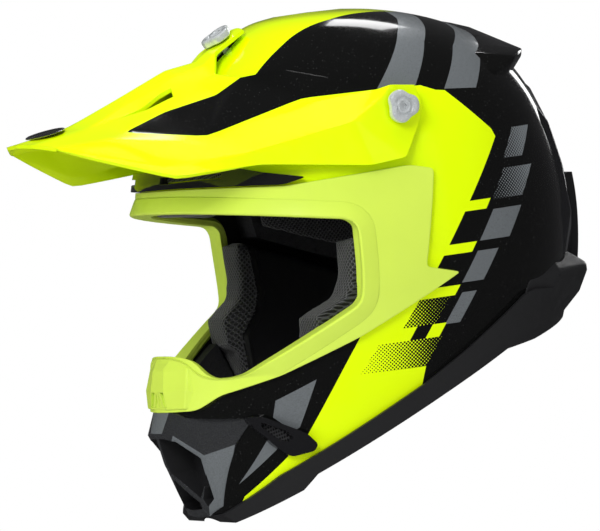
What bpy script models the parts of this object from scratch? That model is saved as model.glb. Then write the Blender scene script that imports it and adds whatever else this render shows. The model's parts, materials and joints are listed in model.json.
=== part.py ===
"""Off-road helmet with a tilting peak, built as separate closed pieces.

+Z is up, the face looks along -Y and the wearer's left is +X. The origin is the middle of the
wearer's head. Shapes are worked out in millimetres and turned into metres at the end.
"""

import math

import bmesh
import bpy
import numpy as np
from mathutils import Matrix, Vector

MM = 0.001

# The outside of the shell as level rings from crown to chin, in mm:
# height, half width, front, widest line, rear, front roundness, rear roundness
SHELL_ROWS = (
    (143.6, 22.0, -39.0, -18.0, 3.0, 2.0, 2.0),
    (141.0, 42.0, -53.0, -14.0, 21.0, 2.0, 2.0),
    (135.5, 60.0, -65.0, -9.0, 44.0, 2.0, 2.0),
    (127.0, 76.0, -76.0, -4.0, 67.0, 2.0, 2.0),
    (115.0, 91.0, -91.0, 2.0, 86.0, 2.0, 2.1),
    (99.0, 103.5, -107.0, 7.0, 101.0, 2.0, 2.15),
    (79.0, 112.5, -122.0, 10.0, 112.0, 2.0, 2.2),
    (57.0, 118.0, -134.0, 12.0, 119.5, 2.0, 2.2),
    (33.0, 120.5, -139.5, 13.0, 125.0, 2.0, 2.2),
    (8.0, 121.0, -140.0, 13.0, 127.0, 2.0, 2.2),
    (-18.0, 119.0, -139.0, 13.0, 125.0, 2.0, 2.2),
    (-43.0, 114.0, -140.0, 12.0, 120.0, 2.0, 2.2),
    (-68.0, 107.5, -144.0, 10.0, 112.0, 2.0, 2.2),
    (-93.0, 101.0, -149.0, 6.0, 103.0, 2.0, 2.1),
    (-118.0, 95.0, -148.0, 2.0, 94.0, 2.0, 2.0),
    (-143.0, 88.0, -142.0, -2.0, 84.0, 2.0, 2.0),
    (-168.0, 80.0, -133.0, -6.0, 74.0, 2.0, 2.0),
)
CROWN = (0.0, -18.0, 144.0)
RINGS = 24
AROUND = 40
HALF_RANGE = 200.0

# thickness of each layer, as depths under the shell's outside
SHELL_DEPTH = 4.0
FOAM_OUTER = 4.6
FOAM_INNER = 28.0
LINER_OUTER = 28.6
LINER_INNER = 37.0
GAP = 0.35

# side outlines (y, z) in mm
PORT = (
    (-200, 34), (-139, 32), (-103, 25), (-56, 16), (-52, 12), (-52, -16), (-53, -32),
    (-56, -36), (-106, -65), (-117, -72), (-134, -72), (-140, -56), (-200, -50),
)
FRAME_OUTLINE = (
    (-200, 47), (-137, 46), (-88, 41), (-17, 44), (-2, 40), (-14, -19), (8, -25), (-8, -33),
    (-49, -53), (-55, -56), (-101, -74), (-131, -82), (-142, -90), (-200, -90),
)
BASE_LINE = (
    (160, -34), (98, -58), (60, -67), (34, -73), (9, -83), (-18, -97), (-50, -112), (-84, -129),
    (-94, -138), (-120, -155), (-180, -158),
)
PEAK_PIVOT = (-17.6, 80.1)


# ---------------------------------------------------------------- basic tools


def clear_scene():
    for piece in list(bpy.data.objects):
        bpy.data.objects.remove(piece, do_unlink=True)


def form_rows():
    """The ring table smoothed to RINGS rings."""
    table = np.array(SHELL_ROWS)
    last = len(table) - 1
    place = np.linspace(0, last, RINGS)
    low = np.clip(place.astype(int), 0, last - 1)
    part = (place - low)[:, None]
    before = table[np.maximum(low - 1, 0)]
    here = table[low]
    after = table[low + 1]
    beyond = table[np.minimum(low + 2, last)]
    bend = 2 * before - 5 * here + 4 * after - beyond
    twist = 3 * here - before - 3 * after + beyond
    return 0.5 * (2 * here + (after - before) * part + bend * part**2 + twist * part**3)


def form_points(depth):
    """Ring points of the helmet form, pushed inward by depth mm along the surface normal."""
    turn = 2 * np.pi * np.arange(AROUND) / AROUND
    side, ahead = np.sin(turn), np.cos(turn)
    points = np.zeros((RINGS, AROUND, 3))
    for ring, (height, half, front, middle, rear, n_front, n_rear) in enumerate(form_rows()):
        power = 2 / np.where(ahead > 0, n_front, n_rear)
        along = np.sign(ahead) * np.abs(ahead) ** power
        reach = np.where(along > 0, middle - front, rear - middle)
        points[ring, :, 0] = half * np.sign(side) * np.abs(side) ** power
        points[ring, :, 1] = middle - along * reach
        points[ring, :, 2] = height
    across = np.roll(points, -1, 1) - np.roll(points, 1, 1)
    down = np.gradient(points, axis=0)
    normal = np.cross(down, across)
    normal /= np.linalg.norm(normal, axis=2, keepdims=True)
    if (normal[5, :, :2] * points[5, :, :2]).sum() < 0:
        normal = -normal
    return points - depth * normal


def mesh_object(name, vertices, faces):
    mesh = bpy.data.meshes.new(name)
    mesh.from_pydata([tuple(float(c) for c in v) for v in vertices], [], faces)
    work = bmesh.new()
    work.from_mesh(mesh)
    bmesh.ops.recalc_face_normals(work, faces=work.faces)
    if work.calc_volume(signed=True) < 0:
        bmesh.ops.reverse_faces(work, faces=work.faces)
    work.to_mesh(mesh)
    work.free()
    piece = bpy.data.objects.new(name, mesh)
    bpy.context.collection.objects.link(piece)
    return piece


def form_solid(depth):
    """The whole helmet form as one solid, at the given depth."""
    points = form_points(depth)
    vertices = [tuple(p) for p in points.reshape(-1, 3)]
    top = len(vertices)
    vertices.append((0.0, CROWN[1], CROWN[2] - depth))
    bottom = len(vertices)
    vertices.append((0.0, -20.0, float(points[-1, :, 2].mean())))
    faces = []
    for ring in range(RINGS - 1):
        for step in range(AROUND):
            following = (step + 1) % AROUND
            upper, lower = ring * AROUND, (ring + 1) * AROUND
            faces.append((upper + step, upper + following, lower + following, lower + step))
    for step in range(AROUND):
        following = (step + 1) % AROUND
        faces.append((top, following, step))
        faces.append((bottom, (RINGS - 1) * AROUND + step, (RINGS - 1) * AROUND + following))
    return mesh_object("form", vertices, faces)


def side_prism(outline, low=-HALF_RANGE, high=HALF_RANGE):
    """A (y, z) outline pulled sideways from x = low to x = high."""
    count = len(outline)
    vertices = [(low, y, z) for y, z in outline] + [(high, y, z) for y, z in outline]
    faces = [tuple(range(count)), tuple(reversed(range(count, 2 * count)))]
    for k in range(count):
        following = (k + 1) % count
        faces.append((k, following, count + following, count + k))
    return mesh_object("prism", vertices, faces)


def box(low, high):
    vertices = [(x, y, z) for x in (low[0], high[0]) for y in (low[1], high[1]) for z in (low[2], high[2])]
    faces = [(0, 1, 3, 2), (4, 6, 7, 5), (0, 4, 5, 1), (2, 3, 7, 6), (0, 2, 6, 4), (1, 5, 7, 3)]
    return mesh_object("box", vertices, faces)


def turned(profile, centre, axis, sides=20, lobes=0, lobe_depth=0.0):
    """A solid of revolution: (distance along axis, radius) pairs, closed at both ends."""
    direction = Vector(axis).normalized()
    frame = direction.to_track_quat("Z", "Y").to_matrix()
    vertices = []
    for height, radius in profile:
        for k in range(sides):
            angle = 2 * math.pi * k / sides
            reach = radius
            if lobes and radius > 6.0:
                reach = radius - lobe_depth * (0.5 - 0.5 * math.cos(lobes * angle))
            local = Vector((reach * math.cos(angle), reach * math.sin(angle), height))
            vertices.append(Vector(centre) + frame @ local)
    faces = [tuple(reversed(range(sides))), tuple(range((len(profile) - 1) * sides, len(profile) * sides))]
    for ring in range(len(profile) - 1):
        for k in range(sides):
            following = (k + 1) % sides
            base, above = ring * sides, (ring + 1) * sides
            faces.append((base + k, base + following, above + following, above + k))
    return mesh_object("turned", vertices, faces)


def boolean(piece, tool, operation):
    """Cut, join or intersect piece with tool, and remove the tool."""
    step = piece.modifiers.new("step", "BOOLEAN")
    step.operation = operation
    step.solver = "EXACT"
    step.object = tool
    graph = bpy.context.evaluated_depsgraph_get()
    result = bpy.data.meshes.new_from_object(piece.evaluated_get(graph))
    piece.modifiers.clear()
    piece.data = result
    bpy.data.objects.remove(tool, do_unlink=True)
    return piece


def cut(piece, tool):
    return boolean(piece, tool, "DIFFERENCE")


def join(piece, tool):
    return boolean(piece, tool, "UNION")


def keep(piece, tool):
    return boolean(piece, tool, "INTERSECT")


def layer(outer, inner):
    """The space between two depths of the helmet form."""
    return cut(form_solid(outer), form_solid(inner))


def patch(outline, outer, inner, low=-HALF_RANGE, high=HALF_RANGE):
    """A piece of layer inside a side outline."""
    return keep(layer(outer, inner), side_prism(outline, low, high))


def grown(outline, amount):
    """An outline moved outward by amount; outlines run either way round."""
    count = len(outline)
    area = sum(
        outline[k][0] * outline[(k + 1) % count][1] - outline[(k + 1) % count][0] * outline[k][1]
        for k in range(count)
    )
    sign = 1.0 if area > 0 else -1.0
    moved = []
    for k in range(count):
        before = Vector(outline[k - 1])
        here = Vector(outline[k])
        after = Vector(outline[(k + 1) % count])
        first = (here - before).normalized()
        second = (after - here).normalized()
        out_first = Vector((first.y, -first.x)) * sign
        out_second = Vector((second.y, -second.x)) * sign
        middle = (out_first + out_second).normalized()
        reach = amount / max(0.5, middle.dot(out_first))
        moved.append(tuple(here + middle * reach))
    return moved


def above_base(lift, low_y=-190.0, high_y=190.0):
    """Outline of everything above the shell's lower edge, raised by lift."""
    edge = [(y, z + lift) for y, z in BASE_LINE]
    return [(high_y, edge[0][1]), *edge, (low_y, edge[-1][1]), (low_y, 170.0), (high_y, 170.0)]


def base_band(lower, upper):
    """Outline of a strip that follows the shell's lower edge."""
    edge = [(y, z) for y, z in BASE_LINE]
    return [(y, z + lower) for y, z in edge] + [(y, z + upper) for y, z in reversed(edge)]


def finish(piece, name, colour, metallic=0.0, roughness=0.4, origin=(0.0, 0.0, 0.0)):
    """Name, clean, scale to metres, set the origin and give the piece its material."""
    work = bmesh.new()
    work.from_mesh(piece.data)
    bmesh.ops.remove_doubles(work, verts=work.verts, dist=0.02)
    bmesh.ops.dissolve_degenerate(work, edges=work.edges, dist=0.005)
    bmesh.ops.translate(work, verts=work.verts, vec=-Vector(origin))
    bmesh.ops.scale(work, verts=work.verts, vec=(MM, MM, MM))
    work.to_mesh(piece.data)
    work.free()
    piece.name = name
    piece.data.name = name
    piece.location = Vector(origin) * MM
    material = bpy.data.materials.new(name + "_finish")
    material.use_nodes = True
    shader = material.node_tree.nodes["Principled BSDF"]
    shader.inputs["Base Color"].default_value = (*colour, 1.0)
    shader.inputs["Metallic"].default_value = metallic
    shader.inputs["Roughness"].default_value = roughness
    piece.data.materials.clear()
    piece.data.materials.append(material)
    return piece


LIME = (0.75, 1.0, 0.0)
PALE_LIME = (0.55, 0.78, 0.08)
BLACK = (0.01, 0.01, 0.01)
DARK = (0.04, 0.04, 0.045)
GUNMETAL = (0.12, 0.13, 0.135)
STEEL = (0.62, 0.63, 0.65)
SILVER = (0.8, 0.82, 0.84)
FOAM = (0.03, 0.03, 0.035)
CLOTH = (0.05, 0.05, 0.055)


# ---------------------------------------------------------------- shell and its fixed trim


MOUTH_HOLE = ((-170, -142), (-136, -142), (-136, -112), (-170, -112))
CHIN_VENT = ((-114, -99), (-90, -112), (-85, -120), (-88, -123), (-98, -123), (-105, -118))
CHIN_HOLE = ((-111, -103), (-93, -114), (-98, -119), (-104, -115))


def make_shell():
    shell = layer(0.0, SHELL_DEPTH)
    keep(shell, side_prism(above_base(0.0)))
    cut(shell, side_prism(grown(PORT, 2.4)))
    cut(shell, side_prism(MOUTH_HOLE, -17.0, 17.0))
    for side in (-1, 1):
        cut(shell, side_prism(CHIN_HOLE, min(side * 50, side * 130), max(side * 50, side * 130)))
        cut(shell, turned(((96.0, 5.6), (125.0, 5.6)), (0, *PEAK_PIVOT), (side, 0, 0), 12))
    cut(shell, box((-3.6, -98.0, 96.0), (3.6, -65.5, 150.0)))
    cut(shell, box((-26.0, 100.0, -30.0), (26.0, 150.0, -14.0)))
    return finish(shell, "outer_shell", LIME, roughness=0.12)


def make_eyeport_frame():
    frame = patch(FRAME_OUTLINE, -3.0, 7.0)
    seat = cut(layer(-GAP, 9.0), side_prism(grown(PORT, 2.0)))
    cut(frame, seat)
    cut(frame, side_prism(PORT))
    return finish(frame, "eyeport_frame", PALE_LIME, roughness=0.35)


def make_brow_intake():
    outline = (
        (-200, 47.8), (-137, 46.8), (-90, 42), (-78, 45), (-100, 51), (-112, 56), (-128, 58),
        (-200, 58),
    )
    intake = patch(outline, -6.0, -GAP)
    for side in (-1, 1):
        edges = sorted((side * 20.0, side * 66.0))
        slot = ((-150, 50), (-128, 50.5), (-112, 49.5), (-104, 49.5), (-112, 53.5), (-150, 54.5))
        cut(intake, side_prism(slot, *edges))
    return finish(intake, "brow_intake", BLACK, roughness=0.12)


def make_intake_mesh(name, side):
    edges = sorted((side * 20.4, side * 65.6))
    slot = ((-150, 50.4), (-128, 50.9), (-112, 49.9), (-105, 49.9), (-112, 53.1), (-150, 54.1))
    mesh = patch(slot, -2.0, -0.6, *edges)
    return finish(mesh, name, DARK, 0.5, 0.5)


def mouth_body():
    """Outside of the mouth vent: a faceted snout with a level top ridge and a flat nose."""
    rings = (
        (-90.5, ((0, -153), (16, -153), (30, -149), (61, -115), (56, -90), (0, -90))),
        (-103.0, ((0, -158), (15, -158), (33, -147), (60, -119), (56, -95), (0, -95))),
        (-114.0, ((0, -155), (15, -155), (36, -144), (57, -122), (50, -100), (0, -100))),
        (-134.0, ((0, -151), (13, -151), (34, -141), (48, -127), (45, -105), (0, -105))),
        (-153.0, ((0, -146), (13, -146), (24, -142), (34, -130), (30, -110), (0, -110))),
    )
    vertices = []
    for height, half in rings:
        loop = [(x, y, height) for x, y in half]
        loop += [(-x, y, height) for x, y in reversed(half[1:-1])]
        vertices += loop
    count = len(rings[0][1]) * 2 - 2
    faces = [tuple(range(count)), tuple(reversed(range((len(rings) - 1) * count, len(rings) * count)))]
    for ring in range(len(rings) - 1):
        for k in range(count):
            following = (k + 1) % count
            base, below = ring * count, (ring + 1) * count
            faces.append((base + following, base + k, below + k, below + following))
    return mesh_object("mouth", vertices, faces)


def make_mouth_vent():
    vent = mouth_body()
    cut(vent, form_solid(-GAP))
    cut(vent, side_prism(grown(FRAME_OUTLINE, 0.4)))
    cut(vent, side_prism(base_band(-30.0, 9.5)))
    for side in (-1, 1):
        edges = sorted((side * 1.6, side * 12.5))
        cut(vent, side_prism(((-175, -111), (-120, -111), (-120, -127), (-175, -127)), *edges))
        edges = sorted((side * 3.5, side * 12.0))
        cut(vent, side_prism(((-175, -131), (-120, -131), (-120, -146), (-175, -146)), *edges))
    return finish(vent, "mouth_vent", GUNMETAL, 0.6, 0.35)


def make_mouth_grille():
    grille = patch(((-170, -140.5), (-120, -140.5), (-120, -113.5), (-170, -113.5)), 0.8, 2.4, -16.4, 16.4)
    for row in range(4):
        for column in range(5):
            x = -13.0 + 5.6 * column
            z = -137.6 + 6.3 * row
            cut(grille, box((x, -170, z), (x + 3.6, -120, z + 4.2)))
    return finish(grille, "mouth_grille", DARK, 0.5, 0.5)


def make_chin_vent(name, side):
    edges = sorted((side * 55.0, side * 130.0))
    vent = patch(CHIN_VENT, -3.6, -GAP, *edges)
    cut(vent, side_prism(CHIN_HOLE, *edges))
    return finish(vent, name, BLACK, roughness=0.15)


def make_chin_mesh(name, side):
    edges = sorted((side * 55.0, side * 130.0))
    mesh = patch(grown(CHIN_HOLE, -0.5), -1.6, 0.6, *edges)
    return finish(mesh, name, DARK, 0.5, 0.5)


def make_neck_trim():
    """Rubber U section pressed over the shell's lower edge."""
    trim = patch(base_band(-4.5, 9.0), -3.2, 7.4)
    slot = keep(layer(-GAP, SHELL_DEPTH + GAP), side_prism(base_band(-GAP, 40.0)))
    cut(trim, slot)
    return finish(trim, "neck_trim", DARK, roughness=0.5)


def make_spoiler():
    """Blade across the back of the crown, standing off the shell behind the rear vents."""
    rings = (
        (0, ((66, 131), (96, 121), (126, 106), (127, 101), (108, 99), (84, 112))),
        (26, ((66, 128), (94, 118.5), (124, 104), (125, 99), (106, 96), (82, 110))),
        (52, ((64, 119), (86, 111), (110, 97), (112, 92), (95, 88), (76, 102))),
        (72, ((60, 106), (78, 97), (92, 86), (92, 80), (80, 76), (66, 90))),
    )
    vertices = []
    order = [(-x, loop) for x, loop in reversed(rings[1:])] + list(rings)
    for x, loop in order:
        vertices += [(x, y, z) for y, z in loop]
    count = 6
    faces = [tuple(range(count)), tuple(reversed(range((len(order) - 1) * count, len(order) * count)))]
    for ring in range(len(order) - 1):
        for k in range(count):
            following = (k + 1) % count
            base, above = ring * count, (ring + 1) * count
            faces.append((base + following, base + k, above + k, above + following))
    spoiler = mesh_object("spoiler", vertices, faces)
    cut(spoiler, form_solid(-GAP))
    return finish(spoiler, "rear_spoiler", BLACK, roughness=0.15)


def make_rear_vent(name, side):
    """Raised channel down each side of the back, under the blade."""
    outline = ((80, 80), (104, 76), (124, 62), (134, 24), (134, -3), (100, -6), (90, 30))
    edges = sorted((side * 34.0, side * 74.0))
    vent = patch(outline, -7.0, -GAP, *edges)
    cut(vent, side_prism(((60, 66), (150, 40), (150, 4), (60, 20)), *sorted((side * 46.0, side * 62.0))))
    return finish(vent, name, GUNMETAL, 0.5, 0.3)


def make_rear_exhaust():
    """Two-port extractor above the neck trim."""
    outline = ((96, -10), (150, -10), (150, -31), (96, -40))
    exhaust = patch(outline, -9.0, -GAP, -56.0, 56.0)
    for x in (-26.0, 3.0):
        cut(exhaust, box((x, 90.0, -28.0), (x + 23.0, 160.0, -15.0)))
    return finish(exhaust, "rear_exhaust", DARK, roughness=0.4)


# ---------------------------------------------------------------- inside


CROWN_REGION = (
    (-190, 46), (-88, 41), (-40, 36), (-34, 6), (40, -22), (64, -44), (190, -34), (190, 170), (-190, 170),
)
LINER_REGION = (
    (-190, 54), (-88, 49), (-36, 44), (-30, 12), (44, -14), (66, -34), (190, -24), (190, 170), (-190, 170),
)


def make_foam_crown():
    foam = patch(CROWN_REGION, FOAM_OUTER, FOAM_INNER)
    for side in (-1, 1):
        cut(foam, turned(((80.0, 10.6), (125.0, 10.6)), (0, *PEAK_PIVOT), (side, 0, 0), 14))
        cut(foam, box((side * 30 - 5, -104, 40), (side * 30 + 5, -150, 60)))
    cut(foam, box((-9.0, -104.0, 112.0), (9.0, -60.0, 150.0)))
    return finish(foam, "foam_crown", FOAM, roughness=0.9)


def make_foam_chin():
    region = (
        (-190, -78), (-134, -78), (-104, -72), (-76, -57), (-66, -80), (-80, -112), (-98, -126),
        (-124, -143),
        (-190, -146),
    )
    foam = patch(region, FOAM_OUTER, 15.0)
    cut(foam, side_prism(((-190, -140), (-100, -140), (-100, -114), (-190, -114)), -15.0, 15.0))
    return finish(foam, "foam_chin", FOAM, roughness=0.9)


def make_crown_liner():
    liner = patch(LINER_REGION, LINER_OUTER, LINER_INNER)
    return finish(liner, "crown_liner", CLOTH, roughness=0.9)


def make_cheek_pad(name, side):
    region = (
        (-46, -20), (-38, -2), (30, -26), (44, -36), (44, -48), (4, -48), (-2, -72), (-22, -84),
        (-58, -100),
        (-62, -84), (-60, -54), (-46, -42),
    )
    edges = sorted((side * 30.0, side * 140.0))
    pad = patch(region, 5.2, 33.0, *edges)
    return finish(pad, name, CLOTH, roughness=0.9)


def make_neck_roll():
    region = ((48, -46), (70, -52), (96, -46), (150, -36), (150, -50), (96, -60), (62, -66), (46, -64))
    roll = patch(region, 8.0, 26.0)
    return finish(roll, "neck_roll", CLOTH, roughness=0.9)


def make_brow_liner():
    """Padded roll under the crown liner's front edge."""
    region = ((-200, 34), (-103, 27.5), (-62, 22), (-62, 33), (-88, 39), (-200, 44))
    roll = patch(region, 9.0, 26.0)
    return finish(roll, "brow_liner", CLOTH, roughness=0.9)


# ---------------------------------------------------------------- chin strap


STRAP_HALF = 11.4


def ribbon(path, thickness, half_width, wide=(0, 1, 0)):
    """Flat strap along path (points in mm); its width runs along wide."""
    width = Vector(wide).normalized() * half_width
    vertices = []
    for k, point in enumerate(path):
        here = Vector(point)
        before = Vector(path[max(k - 1, 0)])
        after = Vector(path[min(k + 1, len(path) - 1)])
        along = (after - before).normalized()
        normal = along.cross(width).normalized() * thickness / 2
        below, above = here - normal, here + normal
        vertices += [below - width, below + width, above + width, above - width]
    faces = [(3, 2, 1, 0)]
    last = (len(path) - 1) * 4
    faces.append((last, last + 1, last + 2, last + 3))
    for k in range(len(path) - 1):
        for j in range(4):
            following = (j + 1) % 4
            base, above = k * 4, (k + 1) * 4
            faces.append((base + j, base + following, above + following, above + j))
    return mesh_object("ribbon", vertices, faces)


def make_straps():
    left = ((82, 22, -58), (79, 17, -72), (70, 4, -84), (54, -8, -94), (36, -16, -99), (19.4, -20, -99))
    right = tuple((-x, y, z) for x, y, z in left[:-1])
    right += ((-14, -20, -106.0), (4, -21, -107.0), (24, -20, -107.0), (40, -17, -106.0))
    finish(ribbon(left, 1.8, STRAP_HALF), "strap_left", BLACK, roughness=0.8)
    finish(ribbon(right, 1.8, STRAP_HALF), "strap_right", BLACK, roughness=0.8)


def make_strap_pads():
    inner = ((71.5, 20, -67), (69, 15, -74), (63, 6, -81), (51, -8, -88))
    for name, side in (("strap_pad_left", 1), ("strap_pad_right", -1)):
        path = tuple((side * x, y, z) for x, y, z in inner)
        finish(ribbon(path, 4.0, 14.0), name, CLOTH, roughness=0.9)


def make_strap_loop():
    """Sewn loop at the end of the left strap, holding the bars of both rings."""
    loop = box((4.2, -29.0, -103.0), (18.8, -11.0, -95.0))
    cut(loop, box((5.6, -40.0, -101.6), (17.4, 0.0, -96.4)))
    return finish(loop, "strap_loop", BLACK, roughness=0.8)


def d_ring(name, centre, tilt):
    """Steel wire D: straight bar along Y, bow hanging down when tilt is a quarter turn."""
    wire = 1.6
    path = []
    for k in range(13):
        angle = math.radians(-90 + 15 * k)
        path.append(Vector((3.0 + 12.0 * math.cos(angle), 17.0 * math.sin(angle), 0)))
    for y in (16.0, 5.0, -5.0, -16.0):
        path.append(Vector((0.0, y, 0)))
    turn = Matrix.Rotation(tilt, 3, "Y")
    sides = 8
    vertices = []
    count = len(path)
    for k, point in enumerate(path):
        along = (path[(k + 1) % count] - path[k - 1]).normalized()
        outward = along.cross(Vector((0, 0, 1))).normalized()
        for j in range(sides):
            angle = 2 * math.pi * j / sides
            offset = outward * wire * math.cos(angle) + Vector((0, 0, 1)) * wire * math.sin(angle)
            vertices.append(Vector(centre) + turn @ (point + offset))
    faces = []
    for k in range(count):
        following = (k + 1) % count
        for j in range(sides):
            beyond = (j + 1) % sides
            base, above = k * sides, following * sides
            faces.append((base + j, base + beyond, above + beyond, above + j))
    return finish(mesh_object("ring", vertices, faces), name, STEEL, 1.0, 0.25, centre)


def make_anchors():
    for name, side in (("left", 1), ("right", -1)):
        profile = ((0.0, 9.0), (1.6, 9.0), (1.6, 4.0), (17.0, 4.0))
        plate = turned(profile, (side * 83.4, 22.0, -60.0), (side, 0, 0), 16)
        finish(plate, "strap_anchor_" + name, STEEL, 1.0, 0.3)


# ---------------------------------------------------------------- peak and its screws


PEAK_THICKNESS = 2.4
# right half of the peak, (x, y, z) in mm; the left half is its mirror image
PEAK_POINTS = {
    "tip": (0, -223, 86), "tip_out": (22, -221, 85), "lip": (39, -213, 81.5),
    "lip_low": (41, -211, 79.5), "spine1": (0, -186, 93), "plate1": (24, -184, 90.5),
    "panel_tip": (47, -170, 85.5), "crease1": (55, -182, 82.5), "spine2": (0, -150, 107),
    "channel2": (12, -150, 103), "well2": (22, -146, 97.5), "panel2": (38, -138, 94.5),
    "spine3": (0, -119, 119.5), "channel3": (12, -119, 115), "well3": (24, -116, 108.5),
    "panel3": (40, -103.6, 100.7), "spine4": (0, -97, 122.5), "channel4": (13, -97, 120),
    "well4": (24, -96, 113.5), "panel4": (48, -89.5, 109.5), "tab_side": (13, -89, 127),
    "tab_mid": (0, -89, 128), "tab_end": (0, -66, 140.5), "tab_corner": (12, -68, 138.4),
    "edge5": (73, -72, 111.4), "edge5b": (96, -52.5, 103), "edge6": (109, -28, 92),
    "low_panel1": (70, -126, 77), "low_panel2": (93, -70.5, 92.5), "side1": (74, -128, 73.5),
    "side2": (94, -72, 88.5), "corner_low": (86, -156, 55.5), "corner_top": (78, -158, 61),
    "wall1": (97, -104, 56), "wall2": (122, -43, 47), "wall3": (124, -20, 49),
    "ridge": (120, -51, 75), "wall_top": (95, -112, 64), "ear_front": (118.5, -34, 82),
    "ear_top": (118.5, -22, 94), "ear_back": (118.5, -6, 92), "ear_end": (118.5, -2, 78),
    "ear_low": (119.5, -8, 66),
}
PEAK_FACES = (
    ("tip", "spine1", "plate1", "tip_out"),
    ("tip_out", "plate1", "crease1", "lip"),
    ("lip", "crease1", "corner_top"),
    ("lip", "corner_top", "corner_low", "lip_low"),
    ("plate1", "panel_tip", "crease1"),
    ("spine1", "spine2", "channel2", "plate1"),
    ("plate1", "channel2", "well2"),
    ("plate1", "well2", "panel2", "panel_tip"),
    ("spine2", "spine3", "channel3", "channel2"),
    ("channel2", "channel3", "well3", "well2"),
    ("well2", "well3", "panel3", "panel2"),
    ("spine3", "spine4", "channel4", "channel3"),
    ("channel3", "channel4", "well4", "well3"),
    ("well3", "well4", "panel4", "panel3"),
    ("spine4", "tab_mid", "tab_side", "channel4"),
    ("tab_mid", "tab_end", "tab_corner", "tab_side"),
    ("channel4", "tab_side", "well4"),
    ("panel_tip", "panel2", "low_panel1"),
    ("panel2", "panel3", "low_panel1"),
    ("panel3", "panel4", "low_panel1"),
    ("panel4", "low_panel2", "low_panel1"),
    ("panel4", "edge5", "low_panel2"),
    ("edge5", "edge5b", "low_panel2"),
    ("edge5b", "edge6", "low_panel2"),
    ("panel_tip", "low_panel1", "side1", "crease1"),
    ("low_panel1", "low_panel2", "side2", "side1"),
    ("low_panel2", "edge6", "side2"),
    ("crease1", "side1", "wall_top", "corner_top"),
    ("side1", "side2", "ridge", "wall_top"),
    ("side2", "edge6", "ridge"),
    ("corner_top", "wall_top", "wall1", "corner_low"),
    ("wall_top", "ridge", "wall2", "wall1"),
    ("ridge", "wall3", "wall2"),
    ("ridge", "edge6", "ear_top", "ear_front"),
    ("ridge", "ear_front", "ear_low", "wall3"),
    ("ear_front", "ear_top", "ear_back", "ear_end", "ear_low"),
)


def make_peak():
    names = list(PEAK_POINTS)
    vertices = [Vector(PEAK_POINTS[n]) for n in names]
    index = {n: k for k, n in enumerate(names)}
    mirrored = dict(index)
    for n in names:
        x, y, z = PEAK_POINTS[n]
        if x > 0:
            mirrored[n] = len(vertices)
            vertices.append(Vector((-x, y, z)))
    faces = [tuple(index[n] for n in face) for face in PEAK_FACES]
    faces += [tuple(reversed([mirrored[n] for n in face])) for face in PEAK_FACES]
    mesh = bpy.data.meshes.new("peak")
    mesh.from_pydata(vertices, [], faces)
    work = bmesh.new()
    work.from_mesh(mesh)
    bmesh.ops.recalc_face_normals(work, faces=work.faces)
    upward = sum(face.normal.z * face.calc_area() for face in work.faces)
    if upward < 0:
        bmesh.ops.reverse_faces(work, faces=work.faces)
    work.to_mesh(mesh)
    work.free()
    peak = bpy.data.objects.new("peak", mesh)
    bpy.context.collection.objects.link(peak)
    wall = peak.modifiers.new("wall", "SOLIDIFY")
    wall.thickness = PEAK_THICKNESS
    wall.offset = -1.0
    wall.use_even_offset = True
    graph = bpy.context.evaluated_depsgraph_get()
    result = bpy.data.meshes.new_from_object(peak.evaluated_get(graph))
    peak.modifiers.clear()
    peak.data = result
    for side in (-1, 1):
        cut(peak, turned(((100.0, 4.6), (140.0, 4.6)), (0, *PEAK_PIVOT), (side, 0, 0), 14))
        slot = ((-130, 90), (-108, 100), (-108, 125), (-130, 125))
        cut(peak, side_prism(slot, *sorted((side * 15.0, side * 21.0))))
    cut(peak, turned(((-20.0, 3.4), (20.0, 3.4)), top_seat(), top_axis(), 12))
    return finish(peak, "peak", LIME, roughness=0.2, origin=(0, *PEAK_PIVOT))


def top_axis():
    """Direction of the top screw's axis, square to the peak's tab."""
    tab = Vector(PEAK_POINTS["tab_end"]) - Vector(PEAK_POINTS["tab_mid"])
    return Vector((0, -tab.z, tab.y)).normalized()


def top_seat():
    """Where the top screw's axis meets the top of the peak's tab."""
    front, back = Vector(PEAK_POINTS["tab_mid"]), Vector(PEAK_POINTS["tab_end"])
    return front.lerp(back, 0.42)


def thumbscrew(name, seat, axis, shank, origin):
    """Three-lobed head on a plain shank; seat is where the head's underside sits."""
    profile = ((0.0, 8.0), (0.6, 10.4), (4.6, 10.4), (5.4, 9.4), (5.4, 4.0), (3.6, 3.4))
    head = turned(profile, seat, axis, 24, 3, 1.7)
    join(head, turned(((-shank, 2.4), (0.5, 2.4)), seat, axis, 12))
    return finish(head, name, SILVER, 0.9, 0.2, origin)


def make_side_fasteners(name, side):
    pivot = (0, *PEAK_PIVOT)
    outward = (side, 0, 0)
    thumbscrew("screw_" + name, (side * 120.4, *PEAK_PIVOT), outward, 12.0, (side * 120.4, *PEAK_PIVOT))
    insert = turned(((95.5, 9.8), (98.5, 9.8), (98.5, 5.0), (115.4, 5.0)), pivot, outward, 16)
    cut(insert, turned(((107.5, 2.8), (120.0, 2.8)), pivot, outward, 12))
    finish(insert, "screw_insert_" + name, STEEL, 1.0, 0.3)


def make_top_fastener():
    axis = top_axis()
    seat = top_seat() + axis * 0.4
    return thumbscrew("screw_top", tuple(seat), tuple(axis), 9.0, tuple(seat))


def make_badge():
    """Blank oval badge on the front of the peak."""
    badge = turned(((0.5, 11.5), (1.4, 11.5)), (0, -203.0, 89.6), (0, -0.185, 0.983), 24)
    for vertex in badge.data.vertices:
        vertex.co.x *= 1.55
    return finish(badge, "peak_badge", BLACK, roughness=0.2, origin=(0, -203.0, 89.6))


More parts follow.
